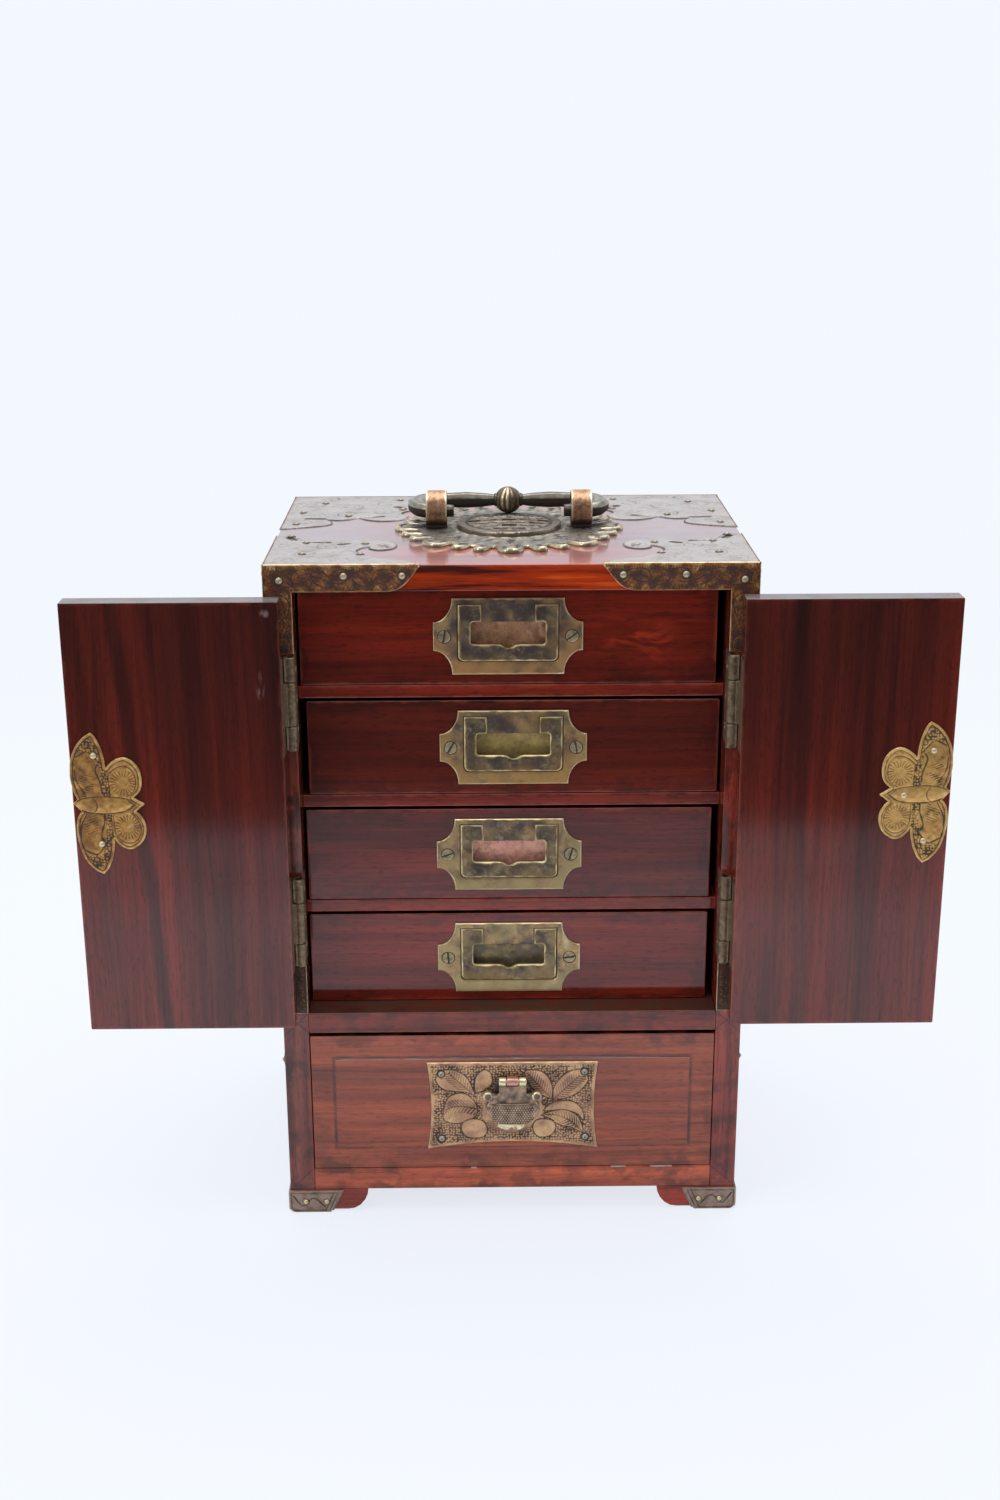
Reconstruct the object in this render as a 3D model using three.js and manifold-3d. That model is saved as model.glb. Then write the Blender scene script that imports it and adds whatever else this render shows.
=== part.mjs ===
// A small hardwood table cabinet: two doors, four inner drawers, one drawer in the base, brass mounts,
// a carrying handle on top and four bracket feet.
// Millimetres, +Z up, the front faces -Y. X is zero in the middle, Z is zero on the ground, and Y is
// zero halfway between the plates on the open doors and the mounts on the back.
// Inside the cabinet group Y is zero on the front face of the case instead, and grows to the back.
import * as THREE from "three";
import { mergeVertices } from "three/addons/utils/BufferGeometryUtils.js";
import Module from "manifold-3d";

// Case boards
const caseWidth = 200;
const caseDepth = 145;
const sideThickness = 11.1;
const topThickness = 10.9;
const upperOpeningHeight = 188.2;
const middleThickness = 9.6;
const baseOpeningHeight = 67.4;
const bottomThickness = 10.6;
const backThickness = 6;
const dividerThickness = 5.5;
const dividerSetback = 12;
const dividerCount = 3;

// Bracket feet and their brass caps
const footHeight = 11.5;
const footTopLength = 35;
const footBottomLength = 23;
const footThickness = 11;
const footCornerRadius = 3;
const footCurveSteps = 6;
const footCornerSteps = 3;
const capThickness = 0.6;
const capSeatGap = 0.1;
const capTopReach = 24;
const capBottomReach = 19;
const capTopDrop = 0.3;

// Brass mounts over the top corners
const mountThickness = 0.6;
const mountReach = 63;
const mountLowerReach = 51;
const frontMountDepth = 57;
const backMountDepth = 70;
const mountLegDrop = 25.8;
const mountLegWidth = 11.1;
// outline of the top plate, as shares of its reach along X and of its depth along Y
const mountOutlineShares = [
  [0, 1], [0.1, 0.98], [0.17, 0.8], [0.38, 0.76], [0.54, 0.8], [0.59, 0.62], [0.7, 0.66],
  [0.8, 0.52], [0.76, 0.34], [0.88, 0.17], [1, 0.05],
];
// outline of the pointed end of the front strap, as shares of its taper and of its height
const strapEndShares = [[0.12, 0.14], [0.42, 0.38], [0.66, 0.74]];

// Medallion, roundel and the loops of the handle, all on the middle of the top
const medallionRadius = 50;
const medallionNotchRadius = 40;
const medallionThickness = 1.5;
const medallionCenterY = 69;
const medallionPeriods = 8;
// rim of one period of the medallion, as shares of the period and of the depth of a notch
const medallionRimShares = [
  [0, 0.9], [0.09, 0.97], [0.18, 0.86], [0.22, 0.1], [0.27, 0.1], [0.32, 0.88], [0.4, 1],
  [0.46, 0.82], [0.49, 0.1], [0.51, 0.1], [0.54, 0.82], [0.6, 1], [0.68, 0.88], [0.73, 0.1],
  [0.78, 0.1], [0.82, 0.86], [0.91, 0.97],
];
const roundelRadius = 22.8;
const roundelThickness = 2;
const roundelRim = 3.2;
const roundelRelief = 0.6;
const roundelSides = 32;
const loopOuterRadius = 7.7;
const loopStrap = 1.5;
const loopWidth = 9.8;
const loopSides = 20;
const loopPadThickness = 1;
const loopPadDepth = 6;
const loopPostRadius = 1.6;
const loopPostDepth = 8;
const loopPostClearance = 0.2;
const postSides = 10;

// Carrying handle: a bar with a ball, turned forward and inward at both ends
const handleHalfSpan = 31.5;
const handleReach = 19;
const handleHookEnd = 24;
const handleBarRadius = 2.9;
const handleBarSides = 8;
const handleBendSteps = 8;
const handleStraightSteps = 2;
const handleBallRadius = 5.85;
const handleBallSides = 16;
const handleBallRings = 8;
const handlePivotAbovePlate = 6.9;
const handleRestGap = 0.2;

// Hinges
const hingeHeight = 40;
const hingeEndKnuckle = 10.5;
const hingeBarrelRadius = 2.4;
const hingePinRadius = 1.1;
const hingePinClearance = 0.2;
const hingeKnuckleGap = 0.3;
const hingeStandoff = 0.2;
const hingeLeafThickness = 0.8;
const hingeLeafDepth = 8;
const hingeAxisInset = 1.7;
const hingeSides = 12;
const upperHingeDrop = 66.3;
const lowerHingeRise = 24.4;

// Doors and the plates on them
const doorThickness = 9;
const doorSideClearance = 0.8;
const doorMeetingGap = 1.6;
const doorBottomClearance = 0.4;
const doorTopClearance = 0.6;
const doorOpenDegrees = 180;
const butterflyLength = 29.4;
const butterflySpan = 61.6;
const butterflyThickness = 0.8;
const butterflyEdgeMargin = 0.4;
const butterflyHeight = 205;
const butterflyBodyHeight = 7.4;
const hindwingWidth = 15.6;
const hindwingHeight = 17.8;
const hindwingSteps = 14;
// forewing outline, as shares of the length from the door's free edge and of half the span
const forewingShares = [
  [0.12, 0.05], [0.02, 0.22], [0, 0.42], [0.06, 0.66], [0.2, 0.9], [0.34, 1], [0.44, 0.86],
  [0.51, 0.6], [0.52, 0.36], [0.46, 0.05],
];
// upper half of the body, as shares of the length and of half the body's height
const butterflyBodyShares = [[0, 0.1], [0.12, 0.7], [0.4, 1], [0.7, 0.8], [0.86, 0.6], [1, 0]];
const closingPlateRadius = 16;
const closingPlateThickness = 0.8;
const closingPlateSteps = 12;
const closingPlateInset = 0.4;
const stapleRadius = 3.2;
const stapleHoleRadius = 1.7;
const stapleThickness = 1.6;
const stapleInset = 3;
const stapleSides = 12;

// Inner drawers
const drawerSideClearance = 2.3;
const drawerTopClearance = 1.3;
const drawerRestGap = 0.3;
const drawerFrontThickness = 9;
const drawerRearClearance = 3;
const drawerWall = 5;
const drawerFloor = 3;
const drawerBoxInset = 0.4;
const drawerBoxDrop = 4;
// sideways place of each drawer from the top one down, as shares of its play between the hinges
const drawerShiftShares = [-0.8, 0.5, -0.65, -0.8];

// Flush pulls of the inner drawers
const pullWidth = 62;
const pullHeight = 32.5;
const pullTopEdge = 46.5;
const pullSideEdge = 12;
const pullPlateThickness = 1;
const pullCornerSteps = 5;
const pullCupDepth = 6;
const pullCupWall = 0.8;
const pullSeatGap = 0.2;
const bailWidth = 41.5;
const bailTop = 13.4;
const bailBottom = -10.6;
const bailThickness = 2;
const bailArm = 5.2;
const bailTab = 9.5;
const bailTabHeight = 7.1;
const bailBar = 7.1;
const bailCornerRadius = 3.5;
const bailCornerSteps = 4;
const bailClearance = 0.4;
const bailNotchWidth = 9;
const bailNotchDepth = 1.7;
const bailPivotDrop = 2.2;
const bailPinRadius = 0.55;
const bailPinClearance = 0.2;
const bailPinLength = 0.8;
const bailPinSides = 8;
const screwRadius = 2.6;
const screwSpacing = 53;
const screwHead = 0.5;
const screwSides = 12;

// Base drawer with its plate and drop pull
const baseDrawerSideClearance = 0.4;
const baseDrawerTopClearance = 1.5;
const baseDrawerFrontThickness = 10;
const baseDrawerFloor = 4;
const fieldRelief = 0.8;
const fieldMarginSide = 10.3;
const fieldMarginTop = 11;
const fieldMarginBottom = 10.7;
const dropPlateWidth = 75.4;
const dropPlateHeight = 42.7;
const dropPlateThickness = 0.9;
const dropPlateTopMargin = 1.6;
const dropPlateSideHollow = 1.7;
const dropPlateBottomHollow = 3.4;
const dropPlateCurveSteps = 8;
const eyeRadius = 1.9;
const eyeWidth = 5;
const eyeDrop = 8.2;
const eyeStandoff = 0.3;
const dropPinRadius = 0.8;
const dropPinClearance = 0.2;
const dropKnuckleGap = 0.3;
const dropKnuckleSides = 12;
const fishNeckWidth = 12;
const fishNeckHeight = 10;
const fishNeckThickness = 1.4;
const fishEyeRadius = 1.8;
const fishEyeSpacing = 22.4;
const fishEyeDrop = 6.8;
const fishArmHeight = 2;
const fishBodyWidth = 21.8;
const fishBodyHeight = 13;
const fishBodyThickness = 5;
const fishBodyDrop = 14.5;
const fishBodySides = 16;
const fishBodyRings = 8;
const fishTailWidth = 12;
const fishTailHeight = 5;
const fishTailDrop = 24;

// How far a cutting shape runs past what it cuts
const overrun = 1;

// Heights and places worked out from the sizes above
const halfCase = caseWidth / 2;
const halfOpening = halfCase - sideThickness;
const backPanelFace = caseDepth - backThickness;
const baseOpeningFloor = footHeight + bottomThickness;
const middleBase = baseOpeningFloor + baseOpeningHeight;
const upperOpeningFloor = middleBase + middleThickness;
const topBase = upperOpeningFloor + upperOpeningHeight;
const caseTop = topBase + topThickness;
const drawerCount = dividerCount + 1;
const compartmentHeight = (upperOpeningHeight - dividerCount * dividerThickness) / drawerCount;
const plateTop = caseTop + medallionThickness;
const halfLoopSpacing = handleHalfSpan;
const handlePivotZ = plateTop + handlePivotAbovePlate;
const upperHingeBase = topBase - upperHingeDrop;
const lowerHingeBase = upperOpeningFloor + lowerHingeRise;
const hingeAxisX = halfOpening + hingeAxisInset;
const hingeAxisY = -(hingeBarrelRadius + hingeStandoff);
const halfDrawer = halfOpening - drawerSideClearance;
const drawerPlay = hingeAxisX - hingeBarrelRadius - halfDrawer;
const doorEdge = halfOpening - doorSideClearance;
const doorFreeEdge = doorMeetingGap / 2;
const doorBase = upperOpeningFloor + doorBottomClearance;
const doorTop = topBase - doorTopClearance;
const openDoorFace = 2 * hingeAxisY - doorThickness - butterflyThickness;
const originY = (openDoorFace + caseDepth + mountThickness) / 2;

// Colours read from the finish of the piece
const rosewood = new THREE.MeshStandardMaterial({ color: 0x5a1710, roughness: 0.3, metalness: 0 });
const drawerWood = new THREE.MeshStandardMaterial({ color: 0x4a130e, roughness: 0.35, metalness: 0 });
const boxWood = new THREE.MeshStandardMaterial({ color: 0x8a5a3a, roughness: 0.7, metalness: 0 });
const agedBrass = new THREE.MeshStandardMaterial({ color: 0x7a5a30, roughness: 0.45, metalness: 1 });
const paleBrass = new THREE.MeshStandardMaterial({ color: 0x9a7a40, roughness: 0.4, metalness: 1 });
const greyBrass = new THREE.MeshStandardMaterial({ color: 0x6e6248, roughness: 0.4, metalness: 1 });

// Joining and cutting closed geometries
const wasm = await Module();
wasm.setup();

function solidOf(geometry) {
  const bare = geometry.clone();
  bare.deleteAttribute("normal");
  bare.deleteAttribute("uv");
  const merged = mergeVertices(bare);
  return new wasm.Manifold(
    new wasm.Mesh({
      numProp: 3,
      vertProperties: new Float32Array(merged.attributes.position.array),
      triVerts: new Uint32Array(merged.index.array),
    }),
  );
}

function geometryOf(solid) {
  const mesh = solid.getMesh();
  const indexed = new THREE.BufferGeometry();
  indexed.setAttribute("position", new THREE.BufferAttribute(mesh.vertProperties, 3));
  indexed.setIndex(new THREE.BufferAttribute(mesh.triVerts, 1));
  const faceted = indexed.toNonIndexed();
  faceted.computeVertexNormals();
  return faceted;
}

function join(...geometries) {
  return geometryOf(geometries.map(solidOf).reduce((whole, next) => whole.add(next)));
}

function cut(geometry, ...tools) {
  return geometryOf(tools.map(solidOf).reduce((whole, next) => whole.subtract(next), solidOf(geometry)));
}

function overlap(...geometries) {
  return geometryOf(geometries.map(solidOf).reduce((whole, next) => whole.intersect(next)));
}

// Blocks, sheets and rods, each placed in the cabinet group
function block([left, right], [front, back], [base, top]) {
  const geometry = new THREE.BoxGeometry(1, 1, 1);
  const corners = geometry.attributes.position;
  for (let i = 0; i < corners.count; i++) {
    corners.setXYZ(
      i,
      corners.getX(i) < 0 ? left : right,
      corners.getY(i) < 0 ? front : back,
      corners.getZ(i) < 0 ? base : top,
    );
  }
  return geometry;
}

function extrude(outline, thickness, hole) {
  const shape = new THREE.Shape(outline.map(([u, v]) => new THREE.Vector2(u, v)));
  if (hole) {
    shape.holes.push(new THREE.Path(hole.map(([u, v]) => new THREE.Vector2(u, v))));
  }
  return new THREE.ExtrudeGeometry(shape, { depth: thickness, bevelEnabled: false });
}

// An outline in X and Z, from its back face towards the front
function frontSheet(outline, backFace, thickness) {
  return extrude(outline, thickness).rotateX(Math.PI / 2).translate(0, backFace, 0);
}

// An outline in X and Y, from its base upwards
function topSheet(outline, base, thickness) {
  return extrude(outline, thickness).translate(0, 0, base);
}

// An outline in Y and Z, from its inner face towards +X
function sideSheet(outline, innerFace, thickness, hole) {
  const turn = new THREE.Matrix4().makeBasis(
    new THREE.Vector3(0, 1, 0),
    new THREE.Vector3(0, 0, 1),
    new THREE.Vector3(1, 0, 0),
  );
  return extrude(outline, thickness, hole).applyMatrix4(turn).translate(innerFace, 0, 0);
}

function rodX(radius, [left, right], y, z, sides) {
  const rod = new THREE.CylinderGeometry(radius, radius, right - left, sides).rotateZ(Math.PI / 2);
  return rod.translate((left + right) / 2, y, z);
}

function rodY(radius, [front, back], x, z, sides) {
  const rod = new THREE.CylinderGeometry(radius, radius, back - front, sides);
  return rod.translate(x, (front + back) / 2, z);
}

function rodZ(radius, [base, top], x, y, sides) {
  const rod = new THREE.CylinderGeometry(radius, radius, top - base, sides).rotateX(Math.PI / 2);
  return rod.translate(x, y, (base + top) / 2);
}

// Points of an elliptic arc, both ends included
function arc(centerU, centerV, radiusU, radiusV, fromDegrees, toDegrees, steps) {
  return Array.from({ length: steps + 1 }, (_, step) => {
    const angle = THREE.MathUtils.degToRad(fromDegrees + ((toDegrees - fromDegrees) * step) / steps);
    return [centerU + radiusU * Math.cos(angle), centerV + radiusV * Math.sin(angle)];
  });
}

function add(parent, name, geometry, material) {
  const mesh = new THREE.Mesh(geometry, material.clone());
  mesh.name = name;
  parent.add(mesh);
}

// Case
function hingeBases() {
  return { upper: upperHingeBase, lower: lowerHingeBase };
}

function caseSide() {
  const board = block([halfOpening, halfCase], [0, caseDepth], [footHeight, topBase]);
  const mortises = Object.values(hingeBases()).map((base) =>
    block(
      [halfOpening - overrun, halfOpening + hingeLeafThickness],
      [-overrun, hingeLeafDepth],
      [base, base + hingeHeight],
    ),
  );
  return cut(board, ...mortises);
}

function postHole(side) {
  const radius = loopPostRadius + loopPostClearance;
  const reach = [caseTop - loopPostDepth - loopPostClearance, plateTop + overrun];
  return rodZ(radius, reach, side * halfLoopSpacing, medallionCenterY, postSides);
}

function topBoard() {
  const board = block([-halfCase, halfCase], [0, caseDepth], [topBase, caseTop]);
  return cut(board, postHole(-1), postHole(1));
}

function addCase(parent) {
  const between = [-halfOpening, halfOpening];
  add(parent, "top_board", topBoard(), rosewood);
  add(parent, "right_side", caseSide(), rosewood);
  const mirrored = new THREE.Group();
  mirrored.scale.x = -1;
  parent.add(mirrored);
  add(mirrored, "left_side", caseSide(), rosewood);
  add(parent, "back_panel", block(between, [backPanelFace, caseDepth], [footHeight, topBase]), rosewood);
  add(parent, "middle_board", block(between, [0, backPanelFace], [middleBase, upperOpeningFloor]), rosewood);
  add(parent, "bottom_board", block(between, [0, backPanelFace], [footHeight, baseOpeningFloor]), rosewood);
  for (let row = 1; row <= dividerCount; row++) {
    const top = topBase - row * compartmentHeight - (row - 1) * dividerThickness;
    const divider = block(between, [dividerSetback, backPanelFace], [top - dividerThickness, top]);
    add(parent, `divider_${row}`, divider, rosewood);
  }
}

// Feet: a silhouette seen from the front and the same one seen from the side, cut from one corner block
function cornerBlock(outline, reach) {
  const fromFront = frontSheet(outline.map(([u, z]) => [halfCase - u, z]), reach, reach + overrun);
  const fromSide = sideSheet(outline, halfCase - reach, reach + overrun);
  return overlap(fromFront, fromSide);
}

function footOutline(growth) {
  const radius = footCornerRadius + growth;
  const cornerEnd = 180 + THREE.MathUtils.radToDeg(Math.asin(footCornerRadius / radius));
  const curveRun = footTopLength - footBottomLength;
  return [
    [-growth, footHeight],
    ...arc(footCornerRadius, footCornerRadius, radius, radius, 180, cornerEnd, footCornerSteps),
    ...arc(footBottomLength, footHeight, curveRun, footHeight, 270, 360, footCurveSteps),
  ];
}

function foot() {
  const hollow = block(
    [-overrun, halfCase - footThickness],
    [footThickness, caseDepth],
    [-overrun, footHeight + overrun],
  );
  return cut(cornerBlock(footOutline(0), footTopLength), hollow);
}

function capOutline(growth) {
  const radius = footCornerRadius + growth;
  const cornerEnd = 180 + THREE.MathUtils.radToDeg(Math.asin(footCornerRadius / radius));
  return [
    [-growth, footHeight - capTopDrop],
    ...arc(footCornerRadius, footCornerRadius, radius, radius, 180, cornerEnd, footCornerSteps),
    [capBottomReach, 0],
    [capTopReach, footHeight - capTopDrop],
  ];
}

function footCap() {
  const shell = cornerBlock(capOutline(capSeatGap + capThickness), capTopReach);
  const inner = cornerBlock(footOutline(capSeatGap), footTopLength);
  return cut(shell, inner);
}

// Mounts: a plate on the top, a strap along the front and a strap along the side, each with a leg
function mountTop(depth) {
  const cloud = mountOutlineShares.map(([u, v]) => [halfCase - u * mountReach, v * depth]);
  const outline = [
    [halfCase + mountThickness, -mountThickness],
    [halfCase + mountThickness, depth],
    ...cloud,
    [halfCase - mountReach, -mountThickness],
  ];
  return topSheet(outline, caseTop, mountThickness);
}

function mountStrap(reach, lowerReach) {
  const tip = strapEndShares.map(([u, v]) => [
    reach - u * (reach - lowerReach),
    caseTop - v * topThickness,
  ]);
  return [
    [-mountThickness, caseTop + mountThickness],
    [reach, caseTop + mountThickness],
    ...tip,
    [lowerReach, topBase],
    [mountLegWidth, topBase],
    [mountLegWidth, topBase - mountLegDrop],
    [-mountThickness, topBase - mountLegDrop],
  ];
}

function cornerMount(depth) {
  const front = mountStrap(mountReach, mountLowerReach).map(([u, z]) => [halfCase - u, z]);
  const side = mountStrap(depth, (depth * mountLowerReach) / mountReach);
  return join(
    mountTop(depth),
    frontSheet(front, 0, mountThickness),
    sideSheet(side, halfCase, mountThickness),
  );
}

function addCorners(parent) {
  const sides = { right: 1, left: -1 };
  const ends = {
    front: { turn: 1, place: 0, depth: frontMountDepth },
    back: { turn: -1, place: caseDepth, depth: backMountDepth },
  };
  for (const [side, mirror] of Object.entries(sides)) {
    for (const [end, { turn, place, depth }] of Object.entries(ends)) {
      const corner = new THREE.Group();
      corner.scale.set(mirror, turn, 1);
      corner.position.y = place;
      parent.add(corner);
      add(corner, `foot_${end}_${side}`, foot(), rosewood);
      add(corner, `foot_cap_${end}_${side}`, footCap(), agedBrass);
      add(corner, `corner_mount_${end}_${side}`, cornerMount(depth), agedBrass);
    }
  }
}

// Medallion, roundel, loops and carrying handle
function medallion() {
  const notch = medallionRadius - medallionNotchRadius;
  const rim = [];
  for (let period = 0; period < medallionPeriods; period++) {
    for (const [turnShare, depthShare] of medallionRimShares) {
      const angle = ((period + turnShare) / medallionPeriods) * 2 * Math.PI - Math.PI / 2;
      const radius = medallionNotchRadius + depthShare * notch;
      rim.push([radius * Math.cos(angle), medallionCenterY + radius * Math.sin(angle)]);
    }
  }
  return cut(topSheet(rim, caseTop, medallionThickness), postHole(-1), postHole(1));
}

function roundel() {
  const top = plateTop + roundelThickness;
  const disc = rodZ(roundelRadius, [plateTop, top], 0, medallionCenterY, roundelSides);
  const dish = rodZ(
    roundelRadius - roundelRim,
    [top - roundelRelief, top + overrun],
    0,
    medallionCenterY,
    roundelSides,
  );
  return cut(disc, dish);
}

function handleLoop() {
  const center = plateTop + loopOuterRadius;
  const innerRadius = loopOuterRadius - loopStrap;
  const outer = arc(medallionCenterY, center, loopOuterRadius, loopOuterRadius, 0, 360, loopSides);
  const inner = arc(medallionCenterY, center, innerRadius, innerRadius, 0, 360, loopSides);
  const left = halfLoopSpacing - loopWidth / 2;
  const ring = sideSheet(outer.slice(1), left, loopWidth, inner.slice(1));
  const pad = block(
    [left, left + loopWidth],
    [medallionCenterY - loopPadDepth / 2, medallionCenterY + loopPadDepth / 2],
    [plateTop, plateTop + loopPadThickness],
  );
  const post = rodZ(
    loopPostRadius,
    [caseTop - loopPostDepth, plateTop + loopPadThickness],
    halfLoopSpacing,
    medallionCenterY,
    postSides,
  );
  return join(ring, pad, post);
}

// The middle line of the bar, flat in X and Y with the pivot line at zero
class HandleLine extends THREE.Curve {
  constructor() {
    super();
    const bend = handleReach / 2;
    const right = [
      ...Array.from({ length: handleStraightSteps }, (_, step) => [
        (handleHalfSpan * (step + 1)) / (handleStraightSteps + 1),
        handleReach,
      ]),
      ...arc(handleHalfSpan, bend, bend, bend, 90, -90, handleBendSteps),
      [handleHookEnd, 0],
    ];
    const left = right.map(([x, y]) => [-x, y]).reverse();
    this.points = [...left, [0, handleReach], ...right];
  }

  getPoint(t, target = new THREE.Vector3()) {
    const place = t * (this.points.length - 1);
    const index = Math.min(Math.floor(place), this.points.length - 2);
    const [fromX, fromY] = this.points[index];
    const [toX, toY] = this.points[index + 1];
    const share = place - index;
    return target.set(fromX + (toX - fromX) * share, fromY + (toY - fromY) * share, 0);
  }

  getPointAt(t, target) {
    return this.getPoint(t, target);
  }

  getTangentAt(t, target = new THREE.Vector3()) {
    const step = 1 / (2 * (this.points.length - 1));
    const ahead = this.getPoint(Math.min(t + step, 1));
    const behind = this.getPoint(Math.max(t - step, 0));
    return target.copy(ahead).sub(behind).normalize();
  }
}

function carryHandle() {
  const line = new HandleLine();
  const section = arc(0, 0, handleBarRadius, handleBarRadius, 0, 360, handleBarSides).slice(1);
  const bar = new THREE.ExtrudeGeometry(new THREE.Shape(section.map(([u, v]) => new THREE.Vector2(u, v))), {
    steps: line.points.length - 1,
    extrudePath: line,
  });
  const ball = new THREE.SphereGeometry(handleBallRadius, handleBallSides, handleBallRings);
  return join(bar, ball.rotateZ(Math.PI / 2).translate(0, handleReach, 0));
}

function addTopFittings(parent) {
  add(parent, "medallion", medallion(), agedBrass);
  add(parent, "roundel", roundel(), agedBrass);
  add(parent, "handle_loop_right", handleLoop(), agedBrass);
  const mirrored = new THREE.Group();
  mirrored.scale.x = -1;
  parent.add(mirrored);
  add(mirrored, "handle_loop_left", handleLoop(), agedBrass);
  // the ball rests on the roundel, so the handle lies a little above level
  const lift = plateTop + roundelThickness + handleRestGap + handleBallRadius - handlePivotZ;
  const handle = new THREE.Group();
  handle.position.set(0, medallionCenterY, handlePivotZ);
  handle.rotation.x = Math.asin(lift / handleReach);
  parent.add(handle);
  add(handle, "carry_handle", carryHandle(), greyBrass);
}

// Hinges, built where they lie with the door closed
function caseLeaf(base) {
  const top = base + hingeHeight;
  const firstKnuckle = [base, base + hingeEndKnuckle];
  const lastKnuckle = [top - hingeEndKnuckle, top];
  const leafSpan = [halfOpening, halfOpening + hingeLeafThickness];
  const pieces = [
    block(leafSpan, [0, hingeLeafDepth], [base, top]),
    rodZ(hingePinRadius, [base, top], hingeAxisX, hingeAxisY, hingeSides),
  ];
  for (const knuckle of [firstKnuckle, lastKnuckle]) {
    pieces.push(block(leafSpan, [hingeAxisY, hingeLeafDepth], knuckle));
    pieces.push(rodZ(hingeBarrelRadius, knuckle, hingeAxisX, hingeAxisY, hingeSides));
  }
  return join(...pieces);
}

function doorLeaf(base) {
  const leafSpan = [doorEdge - hingeLeafThickness, doorEdge];
  const knuckle = [
    base + hingeEndKnuckle + hingeKnuckleGap,
    base + hingeHeight - hingeEndKnuckle - hingeKnuckleGap,
  ];
  const barrel = rodZ(hingeBarrelRadius, knuckle, hingeAxisX, hingeAxisY, hingeSides);
  const web = block([doorEdge - hingeLeafThickness, hingeAxisX], [hingeAxisY, hingeLeafDepth], knuckle);
  const gapBehind = block(
    [doorEdge, hingeAxisX + overrun],
    [hingeAxisY + hingeBarrelRadius, hingeLeafDepth + overrun],
    [base, base + hingeHeight],
  );
  const bore = rodZ(
    hingePinRadius + hingePinClearance,
    [base - overrun, base + hingeHeight + overrun],
    hingeAxisX,
    hingeAxisY,
    hingeSides,
  );
  const leaf = block(leafSpan, [0, hingeLeafDepth], [base, base + hingeHeight]);
  return cut(join(barrel, web, leaf), bore, gapBehind);
}

function door() {
  const board = block([doorFreeEdge, doorEdge], [0, doorThickness], [doorBase, doorTop]);
  const mortises = Object.values(hingeBases()).map((base) =>
    block(
      [doorEdge - hingeLeafThickness, doorEdge + overrun],
      [-overrun, hingeLeafDepth],
      [base, base + hingeHeight],
    ),
  );
  return cut(board, ...mortises);
}

function butterflyPlate() {
  const edge = doorFreeEdge + butterflyEdgeMargin;
  const halfSpan = butterflySpan / 2;
  const backFace = doorThickness + butterflyThickness;
  const plates = [];
  for (const side of [-1, 1]) {
    const wing = forewingShares.map(([u, v]) => [
      edge + u * butterflyLength,
      butterflyHeight + side * v * halfSpan,
    ]);
    const hindwing = arc(
      edge + butterflyLength - hindwingWidth / 2,
      butterflyHeight + side * (butterflyBodyHeight / 4 + hindwingHeight / 2),
      hindwingWidth / 2,
      hindwingHeight / 2,
      0,
      360,
      hindwingSteps,
    );
    plates.push(frontSheet(wing, backFace, butterflyThickness));
    plates.push(frontSheet(hindwing.slice(1), backFace, butterflyThickness));
  }
  const upper = butterflyBodyShares.map(([u, v]) => [u, (v * butterflyBodyHeight) / 2]);
  const lower = butterflyBodyShares.slice(0, -1).map(([u, v]) => [u, (-v * butterflyBodyHeight) / 2]);
  const body = [...upper, ...lower.reverse()].map(([u, z]) => [
    edge + u * butterflyLength,
    butterflyHeight + z,
  ]);
  return join(...plates, frontSheet(body, backFace, butterflyThickness));
}

function closingPlate() {
  const edge = doorFreeEdge + closingPlateInset;
  const height = (doorBase + doorTop) / 2;
  const outline = arc(edge, height, closingPlateRadius, closingPlateRadius, -90, 90, closingPlateSteps);
  const plate = frontSheet(outline, 0, closingPlateThickness);
  const staple = arc(-closingPlateThickness, height, stapleRadius, stapleRadius, 0, 360, stapleSides);
  const hole = arc(
    -closingPlateThickness,
    height,
    stapleHoleRadius,
    stapleHoleRadius,
    0,
    360,
    stapleSides,
  );
  const ring = sideSheet(staple.slice(1), edge + stapleInset, stapleThickness, hole.slice(1));
  const behind = block(
    [edge, edge + closingPlateRadius],
    [-closingPlateThickness / 2, stapleRadius + overrun],
    [height - closingPlateRadius, height + closingPlateRadius],
  );
  return join(plate, cut(ring, behind));
}

function addDoor(parent, side, mirror) {
  const half = new THREE.Group();
  half.scale.x = mirror;
  parent.add(half);
  const swing = new THREE.Group();
  swing.position.set(hingeAxisX, hingeAxisY, 0);
  swing.rotation.z = THREE.MathUtils.degToRad(doorOpenDegrees);
  half.add(swing);
  const closed = new THREE.Group();
  closed.position.set(-hingeAxisX, -hingeAxisY, 0);
  swing.add(closed);
  add(closed, `${side}_door`, door(), rosewood);
  add(closed, `${side}_butterfly_plate`, butterflyPlate(), paleBrass);
  add(closed, `${side}_closing_plate`, closingPlate(), paleBrass);
  for (const [level, base] of Object.entries(hingeBases())) {
    add(half, `${side}_${level}_hinge_case_leaf`, caseLeaf(base), agedBrass);
    add(closed, `${side}_${level}_hinge_door_leaf`, doorLeaf(base), agedBrass);
  }
}

// Inner drawers and flush pulls; a pull's outlines are in X and Z about the middle of its plate
function pullOutline() {
  const cornerWidth = (pullWidth - pullTopEdge) / 2;
  const cornerHeight = (pullHeight - pullSideEdge) / 2;
  const corners = [
    { u: pullWidth / 2, v: pullHeight / 2, from: 270, to: 180 },
    { u: -pullWidth / 2, v: pullHeight / 2, from: 360, to: 270 },
    { u: -pullWidth / 2, v: -pullHeight / 2, from: 90, to: 0 },
    { u: pullWidth / 2, v: -pullHeight / 2, from: 180, to: 90 },
  ];
  return corners.flatMap(({ u, v, from, to }) =>
    arc(u, v, cornerWidth, cornerHeight, from, to, pullCornerSteps),
  );
}

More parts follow.
